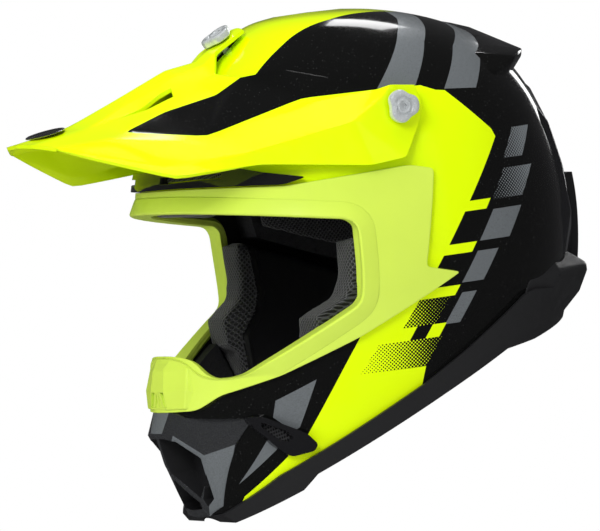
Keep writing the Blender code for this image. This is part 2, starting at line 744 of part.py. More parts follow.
def build():
    clear_scene()
    make_shell()
    make_eyeport_frame()
    make_brow_intake()
    make_mouth_vent()
    make_mouth_grille()
    for name, side in (("left", 1), ("right", -1)):
        make_intake_mesh("brow_mesh_" + name, side)
        make_chin_vent("chin_vent_" + name, side)
        make_chin_mesh("chin_mesh_" + name, side)
        make_rear_vent("rear_vent_" + name, side)
        make_cheek_pad("cheek_pad_" + name, side)
        make_side_fasteners(name, side)
    make_neck_trim()
    make_spoiler()
    make_rear_exhaust()
    make_foam_crown()
    make_foam_chin()
    make_crown_liner()
    make_brow_liner()
    make_neck_roll()
    make_straps()
    make_strap_pads()
    make_strap_loop()
    d_ring("d_ring_outer", (15.0, -20.0, -99.0), math.radians(90))
    d_ring("d_ring_inner", (8.0, -20.0, -99.0), math.radians(90))
    make_anchors()
    make_peak()
    make_badge()
    make_top_fastener()


build()
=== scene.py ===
"""Looks of the off-road helmet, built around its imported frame.

Lengths are worked out in millimetres in the row frame (+Z up, face along -Y, wearer's left +X)
and turned into metres when a piece is finished.
"""

import json
import math
from contextlib import contextmanager

import bmesh
import bpy
import numpy as np
from mathutils import Matrix, Vector
from mathutils.bvhtree import BVHTree

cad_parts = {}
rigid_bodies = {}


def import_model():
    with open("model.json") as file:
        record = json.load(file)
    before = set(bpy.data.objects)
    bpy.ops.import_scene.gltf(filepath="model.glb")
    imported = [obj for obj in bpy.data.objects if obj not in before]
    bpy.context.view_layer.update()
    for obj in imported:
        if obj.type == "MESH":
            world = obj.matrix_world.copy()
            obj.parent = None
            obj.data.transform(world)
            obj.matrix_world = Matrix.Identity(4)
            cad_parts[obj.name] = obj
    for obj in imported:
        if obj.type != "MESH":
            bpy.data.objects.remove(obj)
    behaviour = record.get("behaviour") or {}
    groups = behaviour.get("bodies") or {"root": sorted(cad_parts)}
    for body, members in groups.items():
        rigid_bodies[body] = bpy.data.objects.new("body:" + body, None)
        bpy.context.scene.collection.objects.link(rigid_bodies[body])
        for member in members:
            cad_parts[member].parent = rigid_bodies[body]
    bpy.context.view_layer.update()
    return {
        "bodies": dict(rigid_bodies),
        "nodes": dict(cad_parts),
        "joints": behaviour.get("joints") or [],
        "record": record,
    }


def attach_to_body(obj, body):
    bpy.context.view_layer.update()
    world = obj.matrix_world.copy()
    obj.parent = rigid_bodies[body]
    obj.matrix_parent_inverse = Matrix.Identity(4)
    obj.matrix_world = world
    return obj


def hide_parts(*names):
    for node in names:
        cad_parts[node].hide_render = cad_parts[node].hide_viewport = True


MM = 0.001
REACH = 200.0
GAP = 0.35
SHELL_DEPTH = 4.0
PEAK_PIVOT = (-17.6, 80.1)
SIDES = (("left", 1), ("right", -1))

# rings and points per ring of the helmet form
FORM = (90, 168)
FINE_FORM = (160, 240)
COARSE_FORM = (60, 120)
PAD_FORM = (40, 80)

# level, half width, front, middle, rear, roundness of the front and of the rear
SHELL_ROWS = (
    (143.6, 22.0, -39.0, -18.0, 3.0, 2.0, 2.0),
    (141.0, 42.0, -53.0, -14.0, 21.0, 2.0, 2.0),
    (135.5, 60.0, -65.0, -9.0, 44.0, 2.0, 2.0),
    (127.0, 76.0, -76.0, -4.0, 67.0, 2.0, 2.0),
    (115.0, 91.0, -91.0, 2.0, 86.0, 2.0, 2.1),
    (99.0, 103.5, -107.0, 7.0, 101.0, 2.0, 2.15),
    (79.0, 112.5, -122.0, 10.0, 112.0, 2.0, 2.2),
    (57.0, 118.0, -134.0, 12.0, 119.5, 2.0, 2.2),
    (33.0, 120.5, -139.5, 13.0, 125.0, 2.0, 2.2),
    (8.0, 121.0, -140.0, 13.0, 127.0, 2.0, 2.2),
    (-18.0, 119.0, -139.0, 13.0, 125.0, 2.0, 2.2),
    (-43.0, 114.0, -140.0, 12.0, 120.0, 2.0, 2.2),
    (-68.0, 107.5, -144.0, 10.0, 112.0, 2.0, 2.2),
    (-93.0, 101.0, -149.0, 6.0, 103.0, 2.0, 2.1),
    (-118.0, 95.0, -148.0, 2.0, 94.0, 2.0, 2.0),
    (-143.0, 88.0, -142.0, -2.0, 84.0, 2.0, 2.0),
    (-168.0, 80.0, -133.0, -6.0, 74.0, 2.0, 2.0),
)
CROWN = (-18.0, 144.0)
BOTTOM_MIDDLE = -20.0

# side outlines (y, z)
PORT = (
    (-200, 34), (-139, 32), (-103, 25), (-56, 16), (-52, 12), (-52, -16), (-53, -32),
    (-56, -36), (-106, -65), (-117, -72), (-134, -72), (-140, -56), (-200, -50),
)
FRAME_OUTLINE = (
    (-200, 47), (-137, 46), (-88, 41), (-17, 44), (-2, 40), (-14, -19), (8, -25), (-8, -33),
    (-49, -53), (-55, -56), (-101, -74), (-131, -82), (-142, -90), (-200, -90),
)
BASE_LINE = (
    (160, -34), (98, -58), (60, -67), (34, -73), (9, -83), (-18, -97), (-50, -112), (-84, -129),
    (-94, -138), (-120, -155), (-180, -158),
)

# paint on the shell, side outlines (y, z); later areas cover earlier ones
SIDE_YELLOW = (
    (-125, 62), (-90, 92), (-25, 92), (3, 91), (12, 87), (18, 86), (44, 59), (46, 54), (20, 17), (35, 17),
    (31, 11), (16, 11), (3, -8), (22, -8), (18, -14), (-1, -14), (-14, -33), (9, -33), (5, -39),
    (-18, -39), (-29, -55), (-20, -55), (-25, -63), (-44, -63), (-56, -80), (-15, -80),
    (-18, -92), (-60, -125), (-128, -168), (-121, -146), (-99, -124), (-89, -114), (-55, -57), (-60, -30),
    (-60, 30), (-150, 44),
)
YELLOW_WINDOWS = (
    ((-10, -55), (-1, -55), (-6, -63), (-15, -63)),
)
CROWN_YELLOW_HALF = ((-52, -95), (-50, -54), (-51, -26), (-46, 0), (-38, 21), (-20, 42))
CROWN_YELLOW_END = (0, 54)
CROWN_YELLOW_ABOVE = 95.0
GREY_AREAS = (
    (
        (22, 150), (16, 136), (15, 133), (6, 125), (-5, 113), (-24, 92.5), (0, 91.5), (19, 117), (29, 126),
        (34, 132), (42, 145),
    ),
    ((62, 140), (53, 122), (38, 112), (18, 87), (41, 85), (57, 105), (68, 117), (80, 132)),
    ((72, 91), (88, 112), (100, 104)),
    ((36, 10), (58, 10), (46, -8), (24, -8)),
    ((22, -14), (37, -14), (25, -32), (10, -32)),
    ((10, -38), (20, -38), (8, -56), (-2, -56)),
    ((-104, -89), (-81, -79), (-92, -107), (-96, -109), (-106, -99)),
    ((-110, -113), (-104, -118), (-124, -138)),
)
HALFTONE_GREY = (
    ((61, 58), (77, 58), (65, 40), (49, 40)),
    ((48, 34), (72, 34), (60, 16), (36, 16)),
)
HALFTONE_BLACK = (
    ((-18, -39), (-29, -55), (-8, -55), (2, -39)),
    ((-25, -63), (-44, -63), (-56, -80), (-15, -80), (-4, -63)),
)
SHELL_LOOKS = ("black", "lime", "grey", "half_grey", "half_black", "inside")

# ---------------------------------------------------------------- colours (linear light)

LIME = (0.76, 1.0, 0.0)
PALE_LIME = (0.62, 0.80, 0.085)
BLACK = (0.0035, 0.0036, 0.0034)
GREY = (0.17, 0.185, 0.195)
GUNMETAL = (0.05, 0.052, 0.055)
DARK = (0.012, 0.012, 0.012)
TRIM = (0.018, 0.018, 0.019)


# ---------------------------------------------------------------- helmet form


def form_rows(count):
    """The table's rows drawn out to count rows by a smooth curve through them."""
    table = np.array(SHELL_ROWS)
    last = len(table) - 1
    place = np.linspace(0, last, count)
    low = np.clip(place.astype(int), 0, last - 1)
    part = (place - low)[:, None]
    before = table[np.maximum(low - 1, 0)]
    here = table[low]
    after = table[low + 1]
    beyond = table[np.minimum(low + 2, last)]
    bend = 2 * before - 5 * here + 4 * after - beyond
    twist = 3 * here - before - 3 * after + beyond
    return 0.5 * (2 * here + (after - before) * part + bend * part**2 + twist * part**3)


def form_points(depth, rings, around):
    """Ring points of the helmet form, pushed inward by depth mm, and their outward normals."""
    turn = 2 * np.pi * np.arange(around) / around
    side, ahead = np.sin(turn), np.cos(turn)
    points = np.zeros((rings, around, 3))
    for ring, (height, half, front, middle, rear, n_front, n_rear) in enumerate(form_rows(rings)):
        power = 2 / np.where(ahead > 0, n_front, n_rear)
        along = np.sign(ahead) * np.abs(ahead) ** power
        reach = np.where(along > 0, middle - front, rear - middle)
        points[ring, :, 0] = half * np.sign(side) * np.abs(side) ** power
        points[ring, :, 1] = middle - along * reach
        points[ring, :, 2] = height
    across = np.roll(points, -1, 1) - np.roll(points, 1, 1)
    down = np.gradient(points, axis=0)
    normal = np.cross(down, across)
    normal /= np.linalg.norm(normal, axis=2, keepdims=True)
    if (normal[5, :, :2] * points[5, :, :2]).sum() < 0:
        normal = -normal
    return points - depth * normal, normal


def band_faces(rings, count, closed=False):
    """Quads between successive rings of count points; closed joins the last ring to the first."""
    faces = []
    for ring in range(rings if closed else rings - 1):
        base, above = ring * count, (ring + 1) % rings * count
        for k in range(count):
            following = (k + 1) % count
            faces.append((base + k, base + following, above + following, above + k))
    return faces


def end_faces(total, count):
    """Faces over the first and the last ring of count points, out of total points."""
    return [tuple(range(count)), tuple(reversed(range(total - count, total)))]


@contextmanager
def editing(mesh):
    """The mesh as an editable bmesh, written back at the end."""
    work = bmesh.new()
    work.from_mesh(mesh)
    yield work
    work.to_mesh(mesh)
    work.free()


def face_outward(work):
    bmesh.ops.recalc_face_normals(work, faces=work.faces)
    if work.calc_volume(signed=True) < 0:
        bmesh.ops.reverse_faces(work, faces=work.faces)


def new_object(name, data):
    piece = bpy.data.objects.new(name, data)
    bpy.context.collection.objects.link(piece)
    return piece


def mesh_object(name, vertices, faces):
    mesh = bpy.data.meshes.new(name)
    mesh.from_pydata([tuple(float(c) for c in v) for v in vertices], [], faces)
    with editing(mesh) as work:
        face_outward(work)
    return new_object(name, mesh)


def form_solid(depth, rings=FORM[0], around=FORM[1]):
    """Closed solid of the helmet form, its surface pushed inward by depth mm."""
    points, _ = form_points(depth, rings, around)
    vertices = [tuple(p) for p in points.reshape(-1, 3)]
    top, bottom, last = len(vertices), len(vertices) + 1, (rings - 1) * around
    vertices.append((0.0, CROWN[0], CROWN[1] - depth))
    vertices.append((0.0, BOTTOM_MIDDLE, float(points[-1, :, 2].mean())))
    faces = band_faces(rings, around)
    for step in range(around):
        following = (step + 1) % around
        faces.append((top, following, step))
        faces.append((bottom, last + step, last + following))
    return mesh_object("form", vertices, faces)


def form_lookup():
    """Fine form surface and its normals, for true shading normals on cut pieces."""
    points, normals = form_points(0.0, *FINE_FORM)
    points = points.reshape(-1, 3)
    faces = band_faces(*FINE_FORM)
    tree = BVHTree.FromPolygons([Vector(p) for p in points], faces)
    return tree, normals.reshape(-1, 3), points, faces


# ---------------------------------------------------------------- modelling tools


def prism(outline, axis, low, high):
    """Prism along axis 0, 1 or 2; the outline holds the other two coordinates in order."""
    vertices = []
    for level in (low, high):
        for pair in outline:
            point = list(pair)
            point.insert(axis, level)
            vertices.append(point)
    count = len(outline)
    return mesh_object("prism", vertices, end_faces(2 * count, count) + band_faces(2, count))


def side_prism(outline, low=-REACH, high=REACH):
    """Prism along X from an outline drawn in the side view (y, z)."""
    return prism(outline, 0, low, high)


def front_prism(outline, near, far):
    """Prism along Y from an outline drawn in the front view (x, z)."""
    return prism(outline, 1, near, far)


def top_prism(outline, low, high):
    """Prism along Z from an outline drawn in the top view (x, y)."""
    return prism(outline, 2, low, high)


def mirrored(outline, side):
    """A front or top view outline, moved to the other side where side is -1."""
    return [(side * u, v) for u, v in outline]


def lofted(vertices, count):
    """Closed solid through loops of count points each."""
    faces = end_faces(len(vertices), count)
    faces += [(b, a, d, c) for a, b, c, d in band_faces(len(vertices) // count, count)]
    return mesh_object("loft", vertices, faces)


def rounded(outline, radius, steps=5):
    """The outline with its corners turned into arcs."""
    soft = []
    count = len(outline)
    for k in range(count):
        before, here, after = Vector(outline[k - 1]), Vector(outline[k]), Vector(outline[(k + 1) % count])
        back, ahead = before - here, after - here
        reach = min(radius, 0.42 * back.length, 0.42 * ahead.length)
        start = here + back.normalized() * reach
        end = here + ahead.normalized() * reach
        for step in range(steps + 1):
            t = step / steps
            soft.append(tuple(start * (1 - t) ** 2 + here * 2 * t * (1 - t) + end * t**2))
    return soft


def grown(outline, amount):
    """An outline moved outward by amount."""
    count = len(outline)
    area = sum(
        outline[k][0] * outline[(k + 1) % count][1] - outline[(k + 1) % count][0] * outline[k][1]
        for k in range(count)
    )
    sign = 1.0 if area > 0 else -1.0
    moved = []
    for k in range(count):
        here = Vector(outline[k])
        first = (here - Vector(outline[k - 1])).normalized()
        second = (Vector(outline[(k + 1) % count]) - here).normalized()
        out_first = Vector((first.y, -first.x)) * sign
        out_second = Vector((second.y, -second.x)) * sign
        middle = (out_first + out_second).normalized()
        moved.append(tuple(here + middle * amount / max(0.5, middle.dot(out_first))))
    return moved


def box(low, high):
    vertices = [(x, y, z) for x in (low[0], high[0]) for y in (low[1], high[1]) for z in (low[2], high[2])]
    faces = [(0, 1, 3, 2), (4, 6, 7, 5), (0, 4, 5, 1), (2, 3, 7, 6), (0, 2, 6, 4), (1, 5, 7, 3)]
    return mesh_object("box", vertices, faces)


def turned(profile, centre, axis, sides=48, lobes=0, lobe_depth=0.0):
    """A solid of revolution from (distance along axis, radius) pairs; lobes wave its wide part."""
    frame = Vector(axis).normalized().to_track_quat("Z", "Y").to_matrix()
    vertices = []
    for height, radius in profile:
        for k in range(sides):
            angle = 2 * math.pi * k / sides
            reach = radius
            if lobes and radius > 6.0:
                reach = radius - lobe_depth * (0.5 - 0.5 * math.cos(lobes * angle)) ** 2
            spot = Vector((reach * math.cos(angle), reach * math.sin(angle), height))
            vertices.append(Vector(centre) + frame @ spot)
    ends = [tuple(reversed(face)) for face in end_faces(len(vertices), sides)]
    return mesh_object("turned", vertices, ends + band_faces(len(profile), sides))


def apply_modifiers(piece):
    graph = bpy.context.evaluated_depsgraph_get()
    result = bpy.data.meshes.new_from_object(piece.evaluated_get(graph))
    piece.modifiers.clear()
    piece.data = result
    return piece


def bevelled(piece, width, segments=2, angle=18.0):
    step = piece.modifiers.new("edges", "BEVEL")
    step.width = width
    step.segments = segments
    step.limit_method = "ANGLE"
    step.angle_limit = math.radians(angle)
    return apply_modifiers(piece)


def boolean(piece, tool, operation):
    step = piece.modifiers.new("step", "BOOLEAN")
    step.operation = operation
    step.solver = "EXACT"
    step.object = tool
    apply_modifiers(piece)
    bpy.data.objects.remove(tool, do_unlink=True)
    return piece


def cut(piece, tool):
    return boolean(piece, tool, "DIFFERENCE")


def join(piece, tool):
    return boolean(piece, tool, "UNION")


def keep(piece, tool):
    return boolean(piece, tool, "INTERSECT")


def attach(piece, other):
    """Add another closed solid to the piece as its own island."""
    with editing(piece.data) as work:
        work.from_mesh(other.data)
    bpy.data.objects.remove(other, do_unlink=True)
    return piece


def triangulated(piece):
    with editing(piece.data) as work:
        bmesh.ops.triangulate(work, faces=work.faces)
    return piece


def layer(outer, inner, form=FORM):
    """The space between two depths under the helmet form."""
    return cut(form_solid(outer, *form), form_solid(inner, *form))


def patch(outline, outer, inner, low=-REACH, high=REACH):
    """The part of a layer inside a side outline."""
    return keep(layer(outer, inner), side_prism(outline, low, high))


def above_base(lift):
    """Side outline of everything above the shell's lower edge raised by lift."""
    edge = rounded([(200, BASE_LINE[0][1] + 10), *BASE_LINE, (-200, -158)], 16)
    return [(y, z + lift) for y, z in edge] + [(-200, 170.0), (200, 170.0)]


def base_band(lower, upper):
    """Side outline of a band along the shell's lower edge."""
    edge = rounded(BASE_LINE, 16)
    return [(y, z + lower) for y, z in edge] + [(y, z + upper) for y, z in reversed(edge)]


def side_pair(side, near, far):
    return sorted((side * near, side * far))


def inside(point, outline):
    """Is the (u, v) point inside the outline?"""
    u, v = point
    odd = False
    for k in range(len(outline)):
        (u0, v0), (u1, v1) = outline[k - 1], outline[k]
        if (v0 > v) != (v1 > v) and u < (u1 - u0) * (v - v0) / (v1 - v0) + u0:
            odd = not odd
    return odd


def paint_area(work, outline, plane, slot_index, over, above=-REACH):
    """Cut the mesh along a side (yz) or top (xy) outline and give its inside a slot.

    Only faces in one of the slots over, and higher than above, are painted.
    """
    first, second = (1, 2) if plane == "side" else (0, 1)
    for k in range(len(outline)):
        start, end = Vector(outline[k - 1]), Vector(outline[k])
        along = end - start
        if along.length < 0.05:
            continue
        low = (min(start.x, end.x) - 0.5, min(start.y, end.y) - 0.5)
        high = (max(start.x, end.x) + 0.5, max(start.y, end.y) + 0.5)
        near = []
        for face in work.faces:
            us = [v.co[first] for v in face.verts]
            vs = [v.co[second] for v in face.verts]
            if max(us) > low[0] and min(us) < high[0] and max(vs) > low[1] and min(vs) < high[1]:
                near.append(face)
        geometry = set(near)
        for face in near:
            geometry.update(face.edges)
            geometry.update(face.verts)
        normal = Vector((0.0, 0.0, 0.0))
        normal[first] = -along.y
        normal[second] = along.x
        place = Vector((0.0, 0.0, 0.0))
        place[first] = start.x
        place[second] = start.y
        bmesh.ops.bisect_plane(work, geom=list(geometry), dist=0.01, plane_co=place, plane_no=normal)
    for face in work.faces:
        centre = face.calc_center_median()
        paintable = face.material_index in over and centre.z > above
        if paintable and inside((centre[first], centre[second]), outline):
            face.material_index = slot_index


def shade(piece, lookup=None, angle=32.0):
    """Smooth shading with sharp creases; faces that follow the form take the form's own normals."""
    mesh = piece.data
    mesh.shade_smooth()
    limit = math.radians(angle)
    with editing(mesh) as work:
        for edge in work.edges:
            edge.smooth = len(edge.link_faces) == 2 and edge.calc_face_angle(0.0) < limit
    if lookup is None:
        return piece
    tree, normals, points, faces = lookup
    known = {}
    custom = [Vector(corner.vector) for corner in mesh.corner_normals]
    for polygon in mesh.polygons:
        facing = polygon.normal
        for loop_index in polygon.loop_indices:
            vertex = mesh.loops[loop_index].vertex_index
            if vertex not in known:
                _, _, face_index, _ = tree.find_nearest(mesh.vertices[vertex].co)
                corners = list(faces[face_index])
                gaps = np.linalg.norm(points[corners] - np.array(mesh.vertices[vertex].co), axis=1) + 1e-4
                blend = (normals[corners] / gaps[:, None] ** 2).sum(0)
                known[vertex] = Vector(blend).normalized()
            form_normal = known[vertex]
            if facing.dot(form_normal) > 0.96:
                custom[loop_index] = form_normal
            elif facing.dot(form_normal) < -0.96:
                custom[loop_index] = -form_normal
    mesh.normals_split_custom_set([tuple(n) for n in custom])
    return piece


def to_metres(piece):
    for vertex in piece.data.vertices:
        vertex.co *= MM
    piece.data.update()
    return piece


def place(piece, name, body, slot, materials, nodes):
    """Name a finished piece, give it its materials and tie it to its CAD nodes and body."""
    piece.name = name
    piece.data.name = name
    slots = [polygon.material_index for polygon in piece.data.polygons]
    piece.data.materials.clear()
    for material in materials:
        piece.data.materials.append(material)
    for polygon, index in zip(piece.data.polygons, slots):
        polygon.material_index = min(index, len(materials) - 1)
    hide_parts(*nodes)
    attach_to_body(piece, body)
    return piece


def finish(piece, name, body, slot, materials, nodes, lookup=None, angle=32.0):
    """Shade a piece drawn in millimetres, bring it to metres and place it."""
    shade(piece, lookup, angle)
    to_metres(piece)
    return place(piece, name, body, slot, materials, nodes)


# ---------------------------------------------------------------- materials


class Maker:
    """A material's node tree with short helpers."""

    def __init__(self, name, colour, roughness, metallic=0.0, bevel=0.0, coat=None):
        self.material = bpy.data.materials.new(name)
        self.material.use_nodes = True
        self.tree = self.material.node_tree
        self.shader = self.tree.nodes["Principled BSDF"]
        self.shader.inputs["Base Color"].default_value = (*colour, 1.0)
        self.shader.inputs["Roughness"].default_value = roughness
        self.shader.inputs["Metallic"].default_value = metallic
        if coat:
            self.shader.inputs["Coat Weight"].default_value = coat[0]
            self.shader.inputs["Coat Roughness"].default_value = coat[1]
        self.base = colour
        self.coords = self.node("ShaderNodeTexCoord").outputs["Object"]
        self.normal = None
        if bevel:
            edge = self.node("ShaderNodeBevel", samples=4)
            edge.inputs["Radius"].default_value = bevel
            self.normal = edge.outputs["Normal"]
            self.link(self.normal, self.shader.inputs["Normal"])

    def node(self, kind, **settings):
        made = self.tree.nodes.new(kind)
        for key, value in settings.items():
            setattr(made, key, value)
        return made

    def link(self, source, target):
        self.tree.links.new(source, target)

    def math(self, operation, first, second=None):
        made = self.node("ShaderNodeMath", operation=operation)
        for socket, value in zip(made.inputs, (first, second)):
            if value is None:
                continue
            if isinstance(value, (int, float)):
                socket.default_value = value
            else:
                self.link(value, socket)
        return made.outputs[0]

    def noise(self, scale, detail=3.0):
        made = self.node("ShaderNodeTexNoise")
        made.inputs["Scale"].default_value = scale
        made.inputs["Detail"].default_value = detail
        self.link(self.coords, made.inputs["Vector"])
        return made.outputs["Fac"]

    def cells(self, scale, feature="F1", randomness=1.0):
        made = self.node("ShaderNodeTexVoronoi", feature=feature)
        made.inputs["Scale"].default_value = scale
        made.inputs["Randomness"].default_value = randomness
        self.link(self.coords, made.inputs["Vector"])
        return made

    def ramp(self, source, low, high, first=0.0, last=1.0):
        made = self.node("ShaderNodeMapRange")
        made.inputs["From Min"].default_value = low
        made.inputs["From Max"].default_value = high
        made.inputs["To Min"].default_value = first
        made.inputs["To Max"].default_value = last
        self.link(source, made.inputs["Value"])
        return made.outputs["Result"]

    def mix(self, factor, first, second):
        made = self.node("ShaderNodeMix", data_type="RGBA")
        self.link(factor, made.inputs[0])
        for socket, value in ((made.inputs[6], first), (made.inputs[7], second)):
            if isinstance(value, tuple):
                socket.default_value = (*value, 1.0)
            else:
                self.link(value, socket)
        return made.outputs[2]

    def colour(self, source):
        self.link(source, self.shader.inputs["Base Color"])

    def roughness(self, source):
        self.link(source, self.shader.inputs["Roughness"])

    def tones(self, scale, detail, low, high):
        """Drift of the base colour between two brightness factors."""
        self.colour(self.mix(self.noise(scale, detail), dim(self.base, low), dim(self.base, high)))

    def wear(self, scale, detail, low, high):
        """Drift of the roughness between two values."""
        self.roughness(self.ramp(self.noise(scale, detail), 0.3, 0.7, low, high))

    def bump(self, source, strength, distance):
        made = self.node("ShaderNodeBump")
        made.inputs["Strength"].default_value = strength
        made.inputs["Distance"].default_value = distance
        self.link(source, made.inputs["Height"])
        if self.normal is not None:
            self.link(self.normal, made.inputs["Normal"])
        self.normal = made.outputs["Normal"]
        self.link(self.normal, self.shader.inputs["Normal"])

    def axes(self):
        split = self.node("ShaderNodeSeparateXYZ")
        self.link(self.coords, split.inputs[0])
        return split.outputs

    def channels(self, source):
        split = self.node("ShaderNodeSeparateColor")
        self.link(source, split.inputs[0])
        return split.outputs


def dim(colour, factor):
    return tuple(c * factor for c in colour)


def lacquer(name, colour, roughness=0.09):
    """Glossy paint with a faint drift of tone and orange peel."""
    made = Maker(name, colour, roughness, bevel=0.0007, coat=(0.6, 0.03))
    made.tones(14.0, 3.0, 0.93, 1.0)
    made.wear(60.0, 5.0, roughness * 0.8, roughness * 1.35)
    made.bump(made.noise(420.0, 2.0), 0.03, 0.0004)
    return made.material


def speckled(name, colour, speck, roughness=0.12):
    """Black lacquer with fine bright flakes."""
    made = Maker(name, colour, roughness, bevel=0.0006, coat=(0.5, 0.04))
    flakes = made.cells(900.0)
    near = made.math("LESS_THAN", flakes.outputs["Distance"], 0.2)
    few = made.math("GREATER_THAN", made.channels(flakes.outputs["Color"])[0], 0.9)
    made.colour(made.mix(made.math("MULTIPLY", near, few), colour, speck))
    made.wear(70.0, 4.0, roughness * 0.8, roughness * 1.3)
    return made.material


def flake_paint(name, colour, metallic, roughness):
    """Grey metallic paint: tiny flakes that vary in tone and tilt."""
    made = Maker(name, colour, roughness, metallic, bevel=0.0007, coat=(0.5, 0.06))
    tone, gloss, tilt = made.channels(made.cells(4200.0).outputs["Color"])
    flakes = made.mix(tone, dim(colour, 0.7), dim(colour, 1.45))
    made.colour(made.mix(made.ramp(made.noise(25.0), 0.3, 0.7), flakes, dim(colour, 1.1)))
    made.roughness(made.ramp(gloss, 0.0, 1.0, roughness * 0.8, roughness * 1.3))
    made.bump(tilt, 0.05, 0.0002)
    return made.material


def square_grid(made, first, second, pitch):
    """Distance to the nearest point of a square grid, in pitches."""
    squares = []
    for source in (first, second):
        part = made.math("SUBTRACT", made.math("FRACT", made.math("MULTIPLY", source, 1 / pitch)), 0.5)
        squares.append(made.math("MULTIPLY", part, part))
    return made.math("SQRT", made.math("ADD", *squares))


def halftone(name, ground, dots, start, end):
    """Round dots 1.6 mm apart that grow along Y from start to end (metres)."""
    made = Maker(name, ground, 0.1, bevel=0.0006, coat=(0.6, 0.03))
    x, y, z = made.axes()
    slant, cross = made.math("ADD", y, z), made.math("SUBTRACT", y, z)
    reach = square_grid(made, slant, cross, 0.0016 * math.sqrt(2))
    size = made.ramp(y, start, end, 0.12, 0.62)
    made.colour(made.mix(made.math("LESS_THAN", reach, size), ground, dots))
    return made.material


def moulded(name, colour, roughness, grain=0.25, scale=900.0, glow=0.0):
    """Moulded plastic or rubber with a fine even grain."""
    made = Maker(name, colour, roughness, bevel=0.0008)
    if glow:
        made.shader.inputs["Subsurface Weight"].default_value = glow
        made.shader.inputs["Subsurface Radius"].default_value = (0.004, 0.004, 0.001)
    made.tones(18.0, 4.0, 0.9, 1.06)
    made.wear(120.0, 4.0, roughness * 0.85, roughness * 1.2)
    made.bump(made.noise(scale, 2.0), grain, 0.00025)
    return made.material


def knit(name, colour, pitch=0.0034):
    """Open spacer knit: raised web round slanting rows of holes painted near black as painted shade."""
    made = Maker(name, colour, 0.75)
    fine = made.noise(2600.0, 2.0)
    x, y, z = made.axes()
    across = made.math("SUBTRACT", y, made.math("ABSOLUTE", x))
    slant = made.node("ShaderNodeCombineXYZ")
    made.link(made.math("ADD", across, z), slant.inputs["Y"])
    made.link(made.math("SUBTRACT", across, z), slant.inputs["Z"])
    made.coords = slant.outputs[0]
    holes = made.cells(1.0 / pitch, randomness=0.0)
    web = made.ramp(holes.outputs["Distance"], 0.34, 0.5)
    tone = made.mix(fine, dim(colour, 0.8), dim(colour, 2.6))
    # the holes are painted near black: painted shade inside the open cells
    made.colour(made.mix(web, dim(colour, 0.05), tone))
    made.bump(made.math("ADD", web, made.math("MULTIPLY", fine, 0.18)), 0.9, 0.0009)
    made.shader.inputs["Sheen Weight"].default_value = 0.25
    made.shader.inputs["Sheen Roughness"].default_value = 0.5
    return made.material


def vinyl(name, colour):
    """Soft coated cloth with a fine leather grain."""
    made = Maker(name, colour, 0.42)
    grain = made.cells(1500.0, "DISTANCE_TO_EDGE").outputs["Distance"]
    made.tones(30.0, 4.0, 0.8, 1.3)
    made.wear(80.0, 4.0, 0.36, 0.52)
    made.bump(made.ramp(grain, 0.0, 0.12), 0.25, 0.0003)
    return made.material


def webbing(name, colour):
    """Woven strap: ribs across the strap and a finer rib along it."""
    made = Maker(name, colour, 0.7)
    x, y, z = made.axes()
    rib = made.math("SINE", made.math("MULTIPLY", made.math("ADD", x, z), 5200.0))
    fine = made.math("SINE", made.math("MULTIPLY", y, 5600.0))
    weave = made.math("MULTIPLY", rib, fine)
    made.colour(made.mix(made.ramp(weave, -1.0, 1.0), dim(colour, 0.6), dim(colour, 1.8)))
    made.bump(weave, 0.6, 0.0004)
    return made.material


def beads(name, colour):
    """Moulded foam: pressed beads with fine seams between them."""
    made = Maker(name, colour, 0.6)
    seams = made.cells(330.0, "DISTANCE_TO_EDGE").outputs["Distance"]
    body = made.ramp(seams, 0.0, 0.08)
    made.colour(made.mix(body, dim(colour, 0.4), dim(colour, 1.2)))
    made.bump(body, 0.5, 0.0006)
    return made.material


def gauze(name, colour):
    """Perforated sheet: round holes in a square grid, painted as near-black dots for the shade seen through
    them.
    """
    made = Maker(name, colour, 0.4, 0.8)
    x, y, z = made.axes()
    across = made.math("ADD", x, y)
    upward = made.math("SUBTRACT", z, made.math("MULTIPLY", x, 0.4))
    wall = made.ramp(square_grid(made, across, upward, 0.0021), 0.3, 0.36)
    # painted shade: the holes are near-black dots standing for the dark space behind the sheet
    made.colour(made.mix(wall, (0.002, 0.002, 0.002), colour))
    made.link(made.math("MULTIPLY", wall, 0.8), made.shader.inputs["Metallic"])
    made.bump(wall, 0.8, 0.0006)
    return made.material


def metal(name, colour, roughness):
    """Plated metal with fine wear."""
    made = Maker(name, colour, roughness, 1.0, bevel=0.0004)
    made.tones(90.0, 4.0, 0.82, 1.0)
    made.wear(500.0, 5.0, roughness * 0.7, roughness * 1.5)
    made.bump(made.noise(1400.0, 2.0), 0.05, 0.0002)
    return made.material


def clear_knob(name, colour):
    """Bright plated knob under a clear skin."""
    made = Maker(name, colour, 0.22, 0.35, coat=(0.8, 0.05))
    made.tones(260.0, 3.0, 0.8, 1.3)
    made.wear(900.0, 3.0, 0.16, 0.3)
    return made.material


